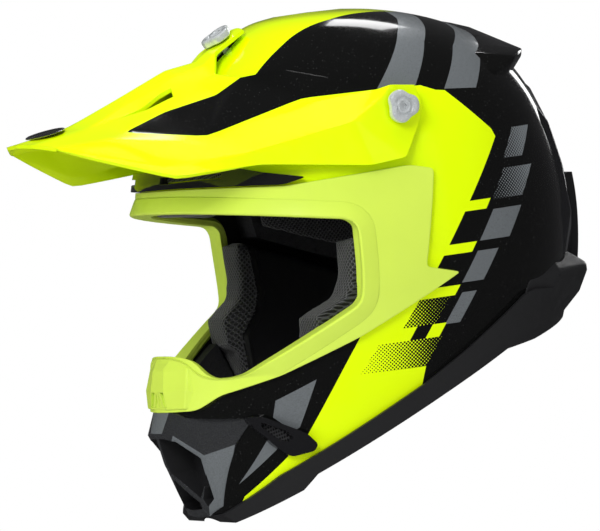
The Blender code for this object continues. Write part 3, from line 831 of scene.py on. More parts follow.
def make_materials():
    return {
        "lime": lacquer("lime_lacquer", LIME),
        "black": speckled("black_lacquer", BLACK, (0.05, 0.052, 0.05)),
        "grey": flake_paint("grey_flake", GREY, 0.35, 0.32),
        "half_grey": halftone("halftone_grey", BLACK, GREY, 0.030, 0.078),
        "half_black": halftone("halftone_black", LIME, BLACK, -0.062, -0.004),
        "inside": moulded("shell_inside", DARK, 0.6),
        "peak": moulded("peak_plastic", LIME, 0.2, 0.03, 500.0),
        "frame": moulded("frame_plastic", PALE_LIME, 0.33, 0.12, 800.0, glow=0.05),
        "gloss": lacquer("black_gloss", (0.008, 0.008, 0.009), 0.08),
        "gunmetal": flake_paint("gunmetal_paint", GUNMETAL, 0.55, 0.24),
        "vent": moulded("vent_black", (0.012, 0.012, 0.013), 0.4),
        "trim": moulded("trim_rubber", TRIM, 0.42, 0.3, 1400.0),
        "knit": knit("open_knit", (0.026, 0.027, 0.029)),
        "liner": knit("liner_knit", (0.02, 0.02, 0.022), 0.0028),
        "vinyl": vinyl("pad_vinyl", (0.008, 0.008, 0.009)),
        "webbing": webbing("strap_webbing", (0.014, 0.014, 0.015)),
        "foam": beads("pressed_foam", (0.02, 0.02, 0.022)),
        "gauze": gauze("vent_gauze", (0.22, 0.22, 0.23)),
        "steel": metal("plated_steel", (0.62, 0.63, 0.65), 0.25),
        "silver": clear_knob("bright_screw", (0.62, 0.65, 0.66)),
    }


# ---------------------------------------------------------------- shell, frame and trim


TOP_SCREW_SLOT = ((-3.6, -98.0, 96.0), (3.6, -65.5, 150.0))
EXHAUST_OPENING = ((-26.0, 100.0, -30.0), (26.0, 150.0, -14.0))


def paint_shell(work, lookup):
    """Give the inner faces the inside look, then lay the colours on the outer ones."""
    black, lime, grey, half_grey, half_black, lining = range(len(SHELL_LOOKS))
    for face in work.faces:
        centre = face.calc_center_median()
        gap = lookup[0].find_nearest(centre)[3]
        crown_cap = face.normal.z > 0.9 and centre.z > 110.0
        face.material_index = black if gap < 0.6 or crown_cap else lining
    outside = (black, lime, grey, half_grey, half_black)
    not_lime = (black, grey, half_grey, half_black)
    crown = [*CROWN_YELLOW_HALF, CROWN_YELLOW_END, *mirrored(reversed(CROWN_YELLOW_HALF), -1)]
    paint_area(work, crown, "top", lime, outside, CROWN_YELLOW_ABOVE)
    coats = (
        ((SIDE_YELLOW, *YELLOW_WINDOWS), lime, outside),
        (GREY_AREAS, grey, not_lime),
        (HALFTONE_GREY, half_grey, not_lime),
        (HALFTONE_BLACK, half_black, (black,)),
    )
    for areas, slot_index, over in coats:
        for area in areas:
            paint_area(work, area, "side", slot_index, over)


def make_shell(looks, lookup):
    shell = layer(0.0, SHELL_DEPTH)
    keep(shell, side_prism(above_base(0.0)))
    cut(shell, side_prism(rounded(grown(PORT, 2.4), 6)))
    cut(shell, front_prism(snout_outline(), -200, -95))
    for side in (-1, 1):
        cut(shell, side_prism(CHIN_HOLE, *side_pair(side, 50, 130)))
        cut(shell, turned(((96.0, 5.6), (125.0, 5.6)), (0, *PEAK_PIVOT), (side, 0, 0), 24))
    cut(shell, box(*TOP_SCREW_SLOT))
    cut(shell, box(*EXHAUST_OPENING))
    with editing(shell.data) as work:
        work.normal_update()
        paint_shell(work, lookup)
    materials = [looks[name] for name in SHELL_LOOKS]
    finish(shell, "shell", "helmet", "shell_paint", materials, ["outer_shell"], lookup)


PORT_LIP = (
    (0.0, -7.0), (0.0, 5.2), (0.5, 6.1), (1.4, 6.5), (2.6, 6.2), (9.0, 3.6), (10.4, 3.0), (10.4, 0.6),
    (3.0, -7.0),
)
# level, half outline (x, y)
CHIN_BLOCK = (
    (-54.5, ((0, -142), (13, -142), (25, -136), (30, -118), (0, -118))),
    (-64.0, ((0, -149), (8, -149), (29, -142), (36, -120), (0, -120))),
    (-77.0, ((0, -151.5), (10, -151.5), (32, -145.5), (38, -120), (0, -120))),
    (-88.5, ((0, -151.5), (13, -151.5), (29, -147), (42, -124), (0, -124))),
)
# openings in the chin block, front outlines (x, z)
CHIN_BLOCK_HOLES = (
    ((1.3, -77), (1.3, -86.8), (5.6, -86.8)),
    ((4.2, -77.5), (9.0, -77.5), (12.4, -86.8), (8.6, -86.8)),
)


def edge_on_form(outline, tree):
    """Left half of a port outline laid on the helmet form, front top to front bottom, 3-D points."""
    dense = []
    for start, end in zip(outline, outline[1:]):
        start, end = Vector(start), Vector(end)
        steps = max(1, int((end - start).length / 0.4))
        dense += [start.lerp(end, step / steps) for step in range(steps)]
    points = []
    for y, z in dense:
        spot = tree.ray_cast(Vector((200, y, z)), Vector((-1, 0, 0)))[0]
        if spot is not None and spot.x > 1.0:
            points.append(spot)
    for index in (0, len(points)):
        z = points[min(index, len(points) - 1)].z
        points.insert(index, tree.ray_cast(Vector((0, -250, z)), Vector((0, 1, 0)))[0])
    return points


def even_path(points, spacing):
    """Points at an even spacing along a polyline, ends kept."""
    total = [0.0]
    for first, second in zip(points, points[1:]):
        total.append(total[-1] + (second - first).length)
    count = max(2, int(total[-1] / spacing))
    path = []
    at = 0
    for k in range(count + 1):
        want = total[-1] * k / count
        while at < len(total) - 2 and total[at + 1] < want:
            at += 1
        part = (want - total[at]) / max(total[at + 1] - total[at], 1e-6)
        path.append(points[at].lerp(points[at + 1], part))
    return path


def swept_lip(outline, profile, tree):
    """Ring with the given (outward, raised) profile along a port edge; it narrows and sinks at the chin."""
    half = even_path(edge_on_form(outline, tree), 2.6)
    loop = half + [Vector((-p.x, p.y, p.z)) for p in reversed(half[1:-1])]
    count = len(loop)
    for _ in range(2):
        loop = [(loop[k - 1] + loop[k] * 2 + loop[(k + 1) % count]) / 4 for k in range(count)]
    middle = sum(loop, Vector()) / count
    vertices = []
    for k, here in enumerate(loop):
        along = (loop[(k + 1) % count] - loop[k - 1]).normalized()
        normal = tree.find_nearest(here)[1]
        if normal.dot(here - Vector((0, 0, here.z))) < 0:
            normal = -normal
        outward = along.cross(normal).normalized()
        if outward.dot(here - middle) < 0:
            outward = -outward
        chin = min(1.0, max(0.0, (-104.0 - here.y) / 14.0)) if here.z < -40 else 0.0
        width = 1.0 - 0.72 * chin
        for across, up in profile:
            raised = up - 2.6 * chin * (up > 0)
            vertices.append(here + outward * across * width + normal * raised)
    return mesh_object("lip", vertices, band_faces(count, len(profile), closed=True))


def stacked(rings):
    """Closed solid through horizontal half loops (height, ((x, y), ...)), mirrored in X."""
    vertices = []
    for height, half in rings:
        vertices += [(x, y, height) for x, y in half]
        vertices += [(-x, y, height) for x, y in reversed(half[1:-1])]
    return lofted(vertices, 2 * len(rings[0][1]) - 2)


def make_eyeport_frame(looks, lookup):
    port = rounded(PORT, 7)
    frame = patch(rounded(FRAME_OUTLINE, 3), -3.0, 7.0)
    cut(frame, cut(layer(-GAP, 9.0), side_prism(grown(port, 2.0))))
    cut(frame, side_prism(port))
    shade(frame, lookup)
    block = triangulated(bevelled(stacked(CHIN_BLOCK), 1.0))
    cut(block, form_solid(4.0, *COARSE_FORM))
    cut(block, side_prism(port))
    for side in (-1, 1):
        for hole in CHIN_BLOCK_HOLES:
            cut(block, front_prism(mirrored(hole, side), -170, -141))
    attach(frame, shade(block, None, 7.0))
    attach(frame, shade(swept_lip(port, PORT_LIP, lookup[0]), None, 24.0))
    to_metres(frame)
    place(frame, "frame", "helmet", "frame_plastic", [looks["frame"]], ["eyeport_frame"])


BROW_INTAKE = (
    (-200, 47.8), (-137, 46.8), (-90, 42), (-78, 45), (-100, 51), (-112, 56), (-128, 58), (-200, 58),
)
BROW_SLOT = ((-150, 50), (-128, 50.5), (-112, 49.5), (-104, 49.5), (-112, 53.5), (-150, 54.5))


def make_brow_intake(looks, lookup):
    intake = patch(rounded(BROW_INTAKE, 3), -6.0, -GAP)
    for side in (-1, 1):
        cut(intake, side_prism(BROW_SLOT, *side_pair(side, 20, 66)))
    finish(intake, "intake", "helmet", "black_gloss", [looks["gloss"]], ["brow_intake"], lookup)


CHIN_VENT = (
    (-121, -96.5), (-113, -97.5), (-90, -111), (-84, -118.5), (-86, -122.5), (-99, -124.5), (-107, -117),
    (-119, -102),
)
CHIN_HOLE = ((-114, -101), (-101, -108), (-97, -113), (-101, -115), (-106, -112), (-114, -104))


def make_chin_vents(looks, lookup):
    for name, side in SIDES:
        edges = side_pair(side, 55, 130)
        vent = patch(rounded(CHIN_VENT, 3), -4.2, 0.5, *edges)
        cut(vent, side_prism(rounded(CHIN_HOLE, 2), *edges))
        mesh = patch(grown(CHIN_HOLE, 1.0), 1.0, 1.8, *edges)
        nodes = ["chin_mesh_" + name]
        finish(mesh, "chin_gauze_" + name, "helmet", "mesh", [looks["gauze"]], nodes, lookup)
        nodes = ["chin_vent_" + name]
        finish(vent, "chin_duct_" + name, "helmet", "black_gloss", [looks["gloss"]], nodes, lookup)


TRIM_UPPER = (
    (-180, -160), (-134, -158.5), (-121, -148), (-104, -135), (-18, -91), (9, -75), (55, -45), (64, -43),
    (98, -45),
    (170, -40),
)
TRIM_LOWER = (
    (170, -52), (98, -66), (64, -74), (41, -77), (-84, -137), (-92, -146), (-128, -163), (-180, -165),
)
HEEL_RINGS = (
    (-23.0, ((0, 124), (36, 120), (66, 106), (88, 86), (96, 70), (0, 60))),
    (-34.0, ((0, 141), (38, 134), (70, 119), (94, 88), (104, 62), (0, 60))),
    (-38.0, ((0, 141), (38, 134), (70, 119), (95, 88), (107, 60), (0, 60))),
    (-50.0, ((0, 133), (38, 127), (70, 112), (94, 80), (107, 54), (0, 54))),
    (-64.0, ((0, 120), (38, 113), (68, 97), (90, 70), (104, 50), (0, 50))),
    (-76.0, ((0, 98), (38, 91), (66, 76), (84, 54), (96, 40), (0, 40))),
)
# room for the snout's lower edge
TRIM_FRONT_CUT = ((-180, -150), (-138, -150), (-124, -163.5), (-124, -175), (-180, -175))


def make_neck_trim(looks, lookup):
    trim = patch(TRIM_UPPER + TRIM_LOWER, -3.2, 7.4)
    cut(trim, keep(layer(-GAP, SHELL_DEPTH + GAP), side_prism(base_band(-GAP, 40.0))))
    shade(trim, lookup)
    cut(trim, side_prism(TRIM_FRONT_CUT))
    heel = triangulated(stacked(HEEL_RINGS))
    bevelled(heel, 1.5, 3, 10.0)
    cut(heel, form_solid(6.5, *COARSE_FORM))
    attach(trim, shade(heel, None, 22.0))
    to_metres(trim)
    place(trim, "trim", "helmet", "rubber_trim", [looks["trim"]], ["neck_trim"])


# ---------------------------------------------------------------- mouth vent


SNOUT = {
    "ridge_top": (0, -150.5, -88.4), "ridge_side": (12.8, -149.7, -88.4), "brow": (24, -145, -94),
    "wing": (62, -116, -98), "ridge_low": (0, -156, -102.5), "ridge_corner": (8.9, -155.5, -102.5),
    "shoulder": (20, -153, -104), "corner": (32, -139, -118), "cheek": (52, -126, -113),
    "jaw": (31, -130, -151), "nose_side": (17, -134, -157), "nose": (0, -135, -158),
    "rib_foot": (0, -151.6, -125),
}
# openings in the snout, front outlines (x, z) and how far back each goes
SNOUT_HOLES = (
    (((1.8, -106), (9, -106), (19, -108), (28.5, -120), (26.5, -133), (16, -145), (1.8, -128)), -133),
    (((0, -132), (14, -148), (14, -152), (0, -153)), -127),
    (((27.5, -130), (26, -146), (18.5, -151), (17.2, -146)), -127),
)
SNOUT_EDGE = ("ridge_top", "ridge_side", "brow", "wing", "cheek", "jaw", "nose_side", "nose")
SNOUT_FACES = (
    ("ridge_top", "ridge_side", "ridge_corner", "ridge_low"),
    ("ridge_side", "brow", "shoulder", "ridge_corner"),
    ("brow", "wing", "corner"),
    ("brow", "corner", "shoulder"),
    ("corner", "wing", "cheek"),
    ("corner", "cheek", "jaw", "nose_side"),
)
SNOUT_FRONT = ("ridge_low", "ridge_corner", "shoulder", "corner", "nose_side", "nose", "rib_foot")


def snout_shell():
    """Faceted snout, closed at the back inside the helmet."""
    vertices = []
    faces = []
    for side in (1, -1):
        index = {}
        for name, (x, y, z) in SNOUT.items():
            index[name] = len(vertices)
            vertices.append((side * x, y, z))
        for name in SNOUT_EDGE:
            x, y, z = SNOUT[name]
            index[name + "_back"] = len(vertices)
            vertices.append((side * x * 0.86, y + 20.0, z))
        faces += [tuple(index[n] for n in face) for face in (*SNOUT_FACES, SNOUT_FRONT)]
        for first, second in zip(SNOUT_EDGE, SNOUT_EDGE[1:]):
            faces.append((index[first], index[second], index[second + "_back"], index[first + "_back"]))
        faces.append(tuple(index[n + "_back"] for n in SNOUT_EDGE))
    snout = mesh_object("snout", vertices, faces)
    with editing(snout.data) as work:
        bmesh.ops.remove_doubles(work, verts=work.verts, dist=0.01)
        inner = [f for f in work.faces if all(abs(v.co.x) < 0.01 for v in f.verts)]
        bmesh.ops.delete(work, geom=inner, context="FACES")
        bmesh.ops.triangulate(work, faces=work.faces)
        face_outward(work)
    return snout


def snout_outline():
    """The snout's edge seen from the front (x, z)."""
    half = [(SNOUT[name][0], SNOUT[name][2]) for name in SNOUT_EDGE]
    return half + mirrored(reversed(half[1:-1]), -1)


CHIN_FOAM = (
    (-190, -78), (-134, -78), (-104, -72), (-76, -57), (-66, -80), (-80, -112), (-98, -126), (-124, -143),
    (-190, -147),
)


def make_chin_foam(looks):
    """Chin foam, and the grille at the end of the snout's air duct."""
    foam = patch(CHIN_FOAM, 4.6, 15.0)
    cut(foam, front_prism(snout_outline(), -200, -128))
    finish(foam, "chin_foam", "helmet", "foam", [looks["foam"]], ["foam_chin"], None, 30.0)
    grille = box((-16.0, -131.5, -140.0), (16.0, -130.0, -114.0))
    for column in range(9):
        for row in range(7):
            x, z = -13.4 + 3.35 * column, -137.4 + 3.5 * row
            cut(grille, box((x - 1.1, -135.0, z - 1.1), (x + 1.1, -126.0, z + 1.1)))
    to_metres(grille)
    place(grille, "duct_grille", "helmet", "vent_black", [looks["vent"]], ["mouth_grille"])


def snout_slot(polygon):
    """0 dark metallic, 1 lighter grey on the ridge and the downward facets as a painted reflection of the
    floor and lights, 2 black faces inside the opening.
    """
    x, y, z = polygon.center
    facing = polygon.normal
    back_wall = y > -134.5 and abs(x) < 33 and z < -104 and facing.y < -0.9
    side_wall = abs(x) < 30 and z < -105 and facing.y > -0.25
    if back_wall or side_wall:
        return 2
    # painted reflection: the front ridge facet and the downward-facing side facets take the lighter grey
    ridge = abs(x) < 13 and z > -103 and facing.y < -0.8
    cheek = facing.z < -0.12 and facing.y < -0.3 and abs(x) > 14
    return 1 if ridge or cheek else 0


def make_mouth_vent(looks):
    vent = snout_shell()
    for side in (-1, 1):
        for hole, back in SNOUT_HOLES:
            cut(vent, front_prism(mirrored(hole, side), -175, back))
    cut(vent, side_prism(TRIM_UPPER + ((170, -200), (-180, -200))))
    bevelled(vent, 0.6, 2, 12.0)
    for polygon in vent.data.polygons:
        polygon.material_index = snout_slot(polygon)
    # the grey slot is a painted reflection on the snout's ridge and lower facets
    materials = [looks["gunmetal"], looks["grey"], looks["vent"]]
    finish(vent, "snout", "helmet", "gunmetal", materials, ["mouth_vent"], None, 24.0)


# ---------------------------------------------------------------- back of the helmet


# half width, side loop (y, z)
SPOILER_RINGS = (
    (0, ((40, 136.5), (80, 126), (121, 105), (121, 100), (106, 96), (80, 98))),
    (26, ((42, 133), (80, 122), (113, 105), (112, 100), (100, 92), (76, 92))),
    (52, ((40, 124), (74, 116), (102, 104.5), (101, 100), (86, 84), (66, 82))),
    (72, ((34, 112), (64, 111), (92, 104), (91, 100), (75, 82), (58, 80))),
    (86, ((28, 103), (54, 106), (80, 101), (79, 98), (66, 83), (48, 80))),
    (94, ((26, 92), (44, 96), (62, 94), (62, 92), (54, 84), (42, 80))),
)
# height, level loop (x, y)
FAIRING_RINGS = (
    (92.0, ((26, 100), (44, 96), (64, 82), (70, 66), (26, 66))),
    (80.0, ((30, 110), (48, 106), (74, 88), (82, 70), (30, 70))),
    (58.0, ((30, 122), (48, 115), (76, 102), (87, 78), (30, 78))),
    (30.0, ((28, 130), (46, 123), (78, 107), (92, 80), (28, 80))),
    (0.0, ((26, 134), (44, 127), (80, 108), (98, 78), (26, 78))),
    (-26.0, ((30, 130), (48, 121), (80, 100), (98, 74), (30, 74))),
)
FAIRING_CHANNEL = ((56, 66), (150, 52), (150, 6), (118, 12), (56, 40))
EXHAUST = ((96, 22), (150, 24), (150, -31), (96, -31))


def make_spoiler(looks):
    rings = [(-x, loop) for x, loop in reversed(SPOILER_RINGS[1:])] + list(SPOILER_RINGS)
    spoiler = lofted([(x, y, z) for x, loop in rings for y, z in loop], len(SPOILER_RINGS[0][1]))
    bevelled(spoiler, 1.4, 3)
    cut(spoiler, form_solid(2.0, *COARSE_FORM))
    finish(spoiler, "blade", "helmet", "black_gloss", [looks["black"]], ["rear_spoiler"], None, 30.0)


def make_rear_vents(looks, lookup):
    for name, side in SIDES:
        points = [(side * x, y, height) for height, loop in FAIRING_RINGS for x, y in loop]
        vent = bevelled(lofted(points, len(FAIRING_RINGS[0][1])), 1.4, 3, 14.0)
        cut(vent, side_prism(FAIRING_CHANNEL, *side_pair(side, 44, 60)))
        cut(vent, form_solid(2.0, *COARSE_FORM))
        nodes = ["rear_vent_" + name]
        finish(vent, "back_duct_" + name, "helmet", "gunmetal", [looks["gloss"]], nodes, None, 26.0)
    exhaust = patch(rounded(EXHAUST, 3), -9.5, 1.0, -42.0, 42.0)
    for x in (-30.0, 3.0):
        cut(exhaust, box((x, 90.0, -24.0), (x + 27.0, 160.0, 14.0)))
    finish(exhaust, "extractor", "helmet", "vent_black", [looks["vent"]], ["rear_exhaust"], lookup)


# ---------------------------------------------------------------- peak


PEAK_THICKNESS = 2.4
PEAK_POINTS = {
    "tip": (0, -223, 86), "tip_out": (22, -221, 85), "lip": (39, -213, 81.5), "lip_low": (41, -211, 79.5),
    "spine1": (0, -186, 93), "plate1": (24, -184, 90.5), "panel_tip": (47, -170, 85.5),
    "crease1": (55, -182, 82.5), "spine2": (0, -150, 107), "channel2": (12, -150, 103),
    "well2": (22, -146, 97.5), "panel2": (38, -138, 94.5), "spine3": (0, -119, 119.5),
    "channel3": (12, -119, 115), "well3": (24, -116, 108.5), "panel3": (40, -103.6, 100.7),
    "spine4": (0, -97, 122.5), "channel4": (13, -97, 120), "well4": (24, -96, 113.5),
    "panel4": (48, -89.5, 109.5), "tab_side": (13, -89, 127), "tab_mid": (0, -89, 128),
    "tab_end": (0, -66, 140.5), "tab_corner": (12, -68, 138.4), "edge5": (73, -72, 111.4),
    "edge5b": (96, -52.5, 103), "edge6": (109, -28, 92), "low_panel1": (70, -126, 77),
    "low_panel2": (93, -70.5, 92.5), "side1": (74, -128, 73.5), "side2": (94, -72, 88.5),
    "corner_low": (86, -156, 55.5), "corner_top": (78, -158, 61), "wall1": (97, -104, 56),
    "wall2": (122, -43, 47), "wall3": (124, -20, 49), "ridge": (120, -51, 75), "wall_top": (95, -112, 64),
    "ear_front": (118.5, -34, 82), "ear_top": (118.5, -22, 94), "ear_back": (118.5, -6, 92),
    "ear_end": (118.5, -2, 78), "ear_low": (119.5, -8, 66),
}
# faces by the names of their corners: top plate, black panels, sides with the ears
PEAK_TOP = (
    "tip spine1 plate1 tip_out", "tip_out plate1 crease1 lip", "lip crease1 corner_top",
    "lip corner_top corner_low lip_low", "plate1 panel_tip crease1", "spine1 spine2 channel2 plate1",
    "plate1 channel2 well2", "plate1 well2 panel2 panel_tip", "spine2 spine3 channel3 channel2",
    "channel2 channel3 well3 well2", "well2 well3 panel3 panel2", "spine3 spine4 channel4 channel3",
    "channel3 channel4 well4 well3", "well3 well4 panel4 panel3", "spine4 tab_mid tab_side channel4",
    "tab_mid tab_end tab_corner tab_side", "channel4 tab_side well4",
)
PEAK_BLACK = (
    "panel_tip panel2 low_panel1", "panel2 panel3 low_panel1", "panel3 panel4 low_panel1",
    "panel4 low_panel2 low_panel1", "panel4 edge5 low_panel2", "edge5 edge5b low_panel2",
    "edge5b edge6 low_panel2",
)
PEAK_SIDE = (
    "panel_tip low_panel1 side1 crease1", "low_panel1 low_panel2 side2 side1", "low_panel2 edge6 side2",
    "crease1 side1 wall_top corner_top", "side1 side2 ridge wall_top", "side2 edge6 ridge",
    "corner_top wall_top wall1 corner_low", "wall_top ridge wall2 wall1", "ridge wall3 wall2",
    "ridge edge6 ear_top ear_front", "ridge ear_front ear_low wall3",
    "ear_front ear_top ear_back ear_end ear_low",
)


PEAK_SLOT = ((23.5, -162), (26, -126), (18.5, -124), (18.5, -132))


def top_seat():
    """Where the top screw sits on the peak's tab."""
    front, back = Vector(PEAK_POINTS["tab_mid"]), Vector(PEAK_POINTS["tab_end"])
    return front.lerp(back, 0.42)


def top_axis():
    """Upright of the peak's tab."""
    tab = Vector(PEAK_POINTS["tab_end"]) - Vector(PEAK_POINTS["tab_mid"])
    return Vector((0, -tab.z, tab.y)).normalized()


def peak_sheet():
    """Both halves of the peak as one open sheet, its fold lines marked as creases."""
    names = list(PEAK_POINTS)
    vertices = [Vector(PEAK_POINTS[n]) for n in names]
    left = {n: k for k, n in enumerate(names)}
    right = dict(left)
    for n in names:
        x, y, z = PEAK_POINTS[n]
        if x > 0:
            right[n] = len(vertices)
            vertices.append(Vector((-x, y, z)))
    corners = [face.split() for face in PEAK_TOP + PEAK_BLACK + PEAK_SIDE]
    faces = [tuple(left[n] for n in face) for face in corners]
    faces += [tuple(reversed([right[n] for n in face])) for face in corners]
    slots = ([0] * len(PEAK_TOP) + [1] * len(PEAK_BLACK) + [0] * len(PEAK_SIDE)) * 2
    mesh = bpy.data.meshes.new("peak")
    mesh.from_pydata(vertices, [], faces)
    for polygon, slot_index in zip(mesh.polygons, slots):
        polygon.material_index = slot_index
    with editing(mesh) as work:
        bmesh.ops.recalc_face_normals(work, faces=work.faces)
        if sum(face.normal.z * face.calc_area() for face in work.faces) < 0:
            bmesh.ops.reverse_faces(work, faces=work.faces)
        crease = work.edges.layers.float.new("crease_edge")
        for edge in work.edges:
            if edge.is_boundary:
                edge[crease] = 0.9
            elif edge.link_faces[0].material_index != edge.link_faces[1].material_index:
                edge[crease] = 1.0
            elif abs(edge.calc_face_angle(0.0)) > math.radians(9):
                edge[crease] = 0.86
    return new_object("peak_visual", mesh)


def make_peak(looks):
    peak = peak_sheet()
    smooth = peak.modifiers.new("smooth", "SUBSURF")
    smooth.levels = 3
    smooth.render_levels = 3
    wall = peak.modifiers.new("wall", "SOLIDIFY")
    wall.thickness = PEAK_THICKNESS
    wall.offset = -1.0
    wall.use_even_offset = True
    wall.material_offset_rim = 0
    apply_modifiers(peak)
    for side in (-1, 1):
        cut(peak, turned(((100.0, 4.6), (140.0, 4.6)), (0, *PEAK_PIVOT), (side, 0, 0), 32))
        cut(peak, top_prism(mirrored(PEAK_SLOT, side), 80, 130))
    cut(peak, turned(((-20.0, 3.4), (20.0, 3.4)), top_seat(), top_axis(), 24))
    materials = [looks["peak"], looks["black"]]
    finish(peak, "peak_visual", "peak_body", "peak_plastic", materials, ["peak"], None, 28.0)


def make_badge(looks):
    """Blank oval badge: metal rim round a gloss black face."""
    profile = ((0.5, 11.5), (1.0, 11.5), (1.4, 11.0), (1.4, 9.9), (1.15, 9.6))
    centre = Vector((0, -203.0, 89.6))
    badge = turned(profile, centre, (0, -0.185, 0.983), 72)
    for polygon in badge.data.polygons:
        polygon.material_index = 1 if (polygon.center - centre).length > 9.7 else 0
    for vertex in badge.data.vertices:
        vertex.co.x *= 1.55
    materials = [looks["gloss"], looks["steel"]]
    finish(badge, "badge", "peak_body", "black_gloss", materials, ["peak_badge"], None, 50.0)


def make_screw(looks, name, body, seat, axis, node):
    """Three-lobed thumbscrew with a dished centre and a six-sided socket."""
    profile = (
        (0.0, 8.0), (0.5, 9.9), (1.0, 10.4), (4.2, 10.4), (4.9, 10.0), (5.3, 9.2), (5.4, 7.4), (4.9, 6.0),
        (4.5, 5.4), (4.6, 4.6), (5.2, 4.2), (5.3, 3.4), (4.6, 3.0),
    )
    head = turned(profile, seat, axis, 96, 3, 2.1)
    join(head, turned(((-9.0, 2.4), (0.5, 2.4)), seat, axis, 32))
    cut(head, turned(((3.4, 1.9), (7.0, 1.9)), seat, axis, 6))
    finish(head, name, body, "screw_silver", [looks["silver"]], [node], None, 35.0)


def make_screws(looks):
    for name, side in SIDES:
        seat = (side * 120.4, *PEAK_PIVOT)
        body = "screw_" + name + "_body"
        make_screw(looks, "thumbscrew_" + name, body, seat, (side, 0, 0), "screw_" + name)
    seat = top_seat() + top_axis() * 0.4
    make_screw(looks, "thumbscrew_top", "screw_top_body", seat, top_axis(), "screw_top")


# ---------------------------------------------------------------- padding and strap


PAD_STEPS = 12


def soften(piece, voxel, puff, limit):
    """Remesh a plain pad, let it swell under cloth pressure by at most limit mm, and smooth it."""
    for vertex in piece.data.vertices:
        vertex.co *= MM
    mesh_step = piece.modifiers.new("even", "REMESH")
    mesh_step.mode = "VOXEL"
    mesh_step.voxel_size = voxel * MM
    apply_modifiers(piece)
    rest = [v.co.copy() for v in piece.data.vertices]
    cloth = piece.modifiers.new("cloth", "CLOTH")
    cloth.settings.use_pressure = True
    cloth.settings.uniform_pressure_force = puff
    cloth.settings.effector_weights.gravity = 0.0
    cloth.settings.quality = 5
    cloth.point_cache.frame_end = PAD_STEPS
    scene = bpy.context.scene
    for frame in range(1, PAD_STEPS + 1):
        scene.frame_set(frame)
    apply_modifiers(piece)
    scene.frame_set(1)
    for vertex, start in zip(piece.data.vertices, rest):
        move = vertex.co - start
        if move.length > limit * MM:
            vertex.co = start + move * (limit * MM / move.length)
    relax = piece.modifiers.new("relax", "SMOOTH")
    relax.factor = 0.5
    relax.iterations = 6
    fine = piece.modifiers.new("fine", "SUBSURF")
    fine.levels = 1
    fine.render_levels = 1
    apply_modifiers(piece)
    piece.data.shade_smooth()
    return piece


# pads, side outlines (y, z)
CHEEK_PAD = (
    (-54, -20), (-53, 4), (-24, -4), (30, -26), (44, -36), (44, -48), (4, -48), (-2, -72), (-22, -84),
    (-56, -98), (-62, -84), (-66, -64), (-76, -58), (-76, -41), (-58, -31),
)
PAD_SEAM = ((-43, 20), (-43, -28), (-48, -40), (-62, -54), (-62, -110))
BROW_PAD = ((-200, 34), (-103, 27.5), (-62, 22), (-62, 33), (-88, 39), (-200, 44))
NECK_PAD = ((48, -46), (70, -52), (96, -46), (150, -36), (150, -50), (96, -60), (62, -66), (46, -64))
CROWN_PAD = (
    (-190, 54), (-88, 49), (-36, 44), (-30, 12), (44, -14), (66, -34), (190, -24), (190, 170), (-190, 170),
)


def seam_reach(point, seam):
    """Distance in mm from a (y, z) point to the seam line, and whether the point is behind it."""
    best, behind = 1e9, False
    for start, end in zip(seam, seam[1:]):
        a, b = Vector(start), Vector(end)
        along = b - a
        part = min(1.0, max(0.0, (point - a).dot(along) / along.length_squared))
        gap = point - (a + along * part)
        if gap.length < best:
            best = gap.length
            behind = gap.x > 0
    return best, behind


def sew_seam(pad, seam):
    """Press a stitched groove with a raised welt along the seam; cloth behind it gets the second slot."""
    mesh = pad.data
    pushes = []
    for vertex in mesh.vertices:
        point = Vector((vertex.co.y, vertex.co.z)) / MM
        gap, behind = seam_reach(point, seam)
        welt = 1.3 * math.exp(-((gap - (2.6 if behind else 3.4)) / 1.5) ** 2)
        pushes.append(welt - 1.5 * math.exp(-gap ** 2))
    moves = [vertex.normal * push * MM for vertex, push in zip(mesh.vertices, pushes)]
    for vertex, move in zip(mesh.vertices, moves):
        vertex.co += move
    for polygon in mesh.polygons:
        _, behind = seam_reach(Vector((polygon.center.y, polygon.center.z)) / MM, seam)
        polygon.material_index = 1 if behind else 0


def make_pads(looks):
    for name, side in SIDES:
        pad = keep(layer(6.0, 32.0, PAD_FORM), side_prism(CHEEK_PAD, *side_pair(side, 30, 140)))
        soften(pad, 2.6, 3.0, 1.6)
        sew_seam(pad, PAD_SEAM)
        materials = [looks["knit"], looks["vinyl"]]
        place(pad, "cheek_cushion_" + name, "helmet", "knit", materials, ["cheek_pad_" + name])
    others = (
        ("brow_cushion", BROW_PAD, 9.4, 25.6, "brow_liner", 2.2, "knit"),
        ("neck_cushion", NECK_PAD, 8.4, 25.6, "neck_roll", 2.6, "knit"),
        ("crown_cushion", CROWN_PAD, 29.0, 36.6, "crown_liner", 3.0, "liner"),
    )
    for name, area, outer, inner, node, voxel, look in others:
        pad = keep(layer(outer, inner, PAD_FORM), side_prism(area))
        soften(pad, voxel, 2.0, 0.8)
        place(pad, name, "helmet", "knit", [looks[look]], [node])


def smooth_path(points, steps=8):
    """Catmull-Rom curve through the points."""
    out = []
    for k in range(len(points) - 1):
        a = Vector(points[max(k - 1, 0)])
        b = Vector(points[k])
        c = Vector(points[k + 1])
        d = Vector(points[min(k + 2, len(points) - 1)])
        bend = 2 * a - 5 * b + 4 * c - d
        twist = 3 * b - a - 3 * c + d
        for step in range(steps):
            t = step / steps
            out.append(0.5 * (2 * b + (c - a) * t + bend * t**2 + twist * t**3))
    out.append(Vector(points[-1]))
    return out


def ribbon(path, thickness, half_width, corners=12):
    """Strap with rounded edges along path; its width runs along Y."""
    radius = thickness / 2
    section = []
    for k in range(corners):
        angle = 2 * math.pi * k / corners
        straight = math.copysign(half_width - radius, math.cos(angle))
        section.append((straight + radius * math.cos(angle), radius * math.sin(angle)))
    width = Vector((0, 1, 0))
    vertices = []
    for k, here in enumerate(path):
        along = (path[min(k + 1, len(path) - 1)] - path[max(k - 1, 0)]).normalized()
        normal = along.cross(width).normalized()
        vertices += [here + width * across + normal * up for across, up in section]
    faces = end_faces(len(vertices), corners) + band_faces(len(path), corners)
    return mesh_object("ribbon", vertices, faces)


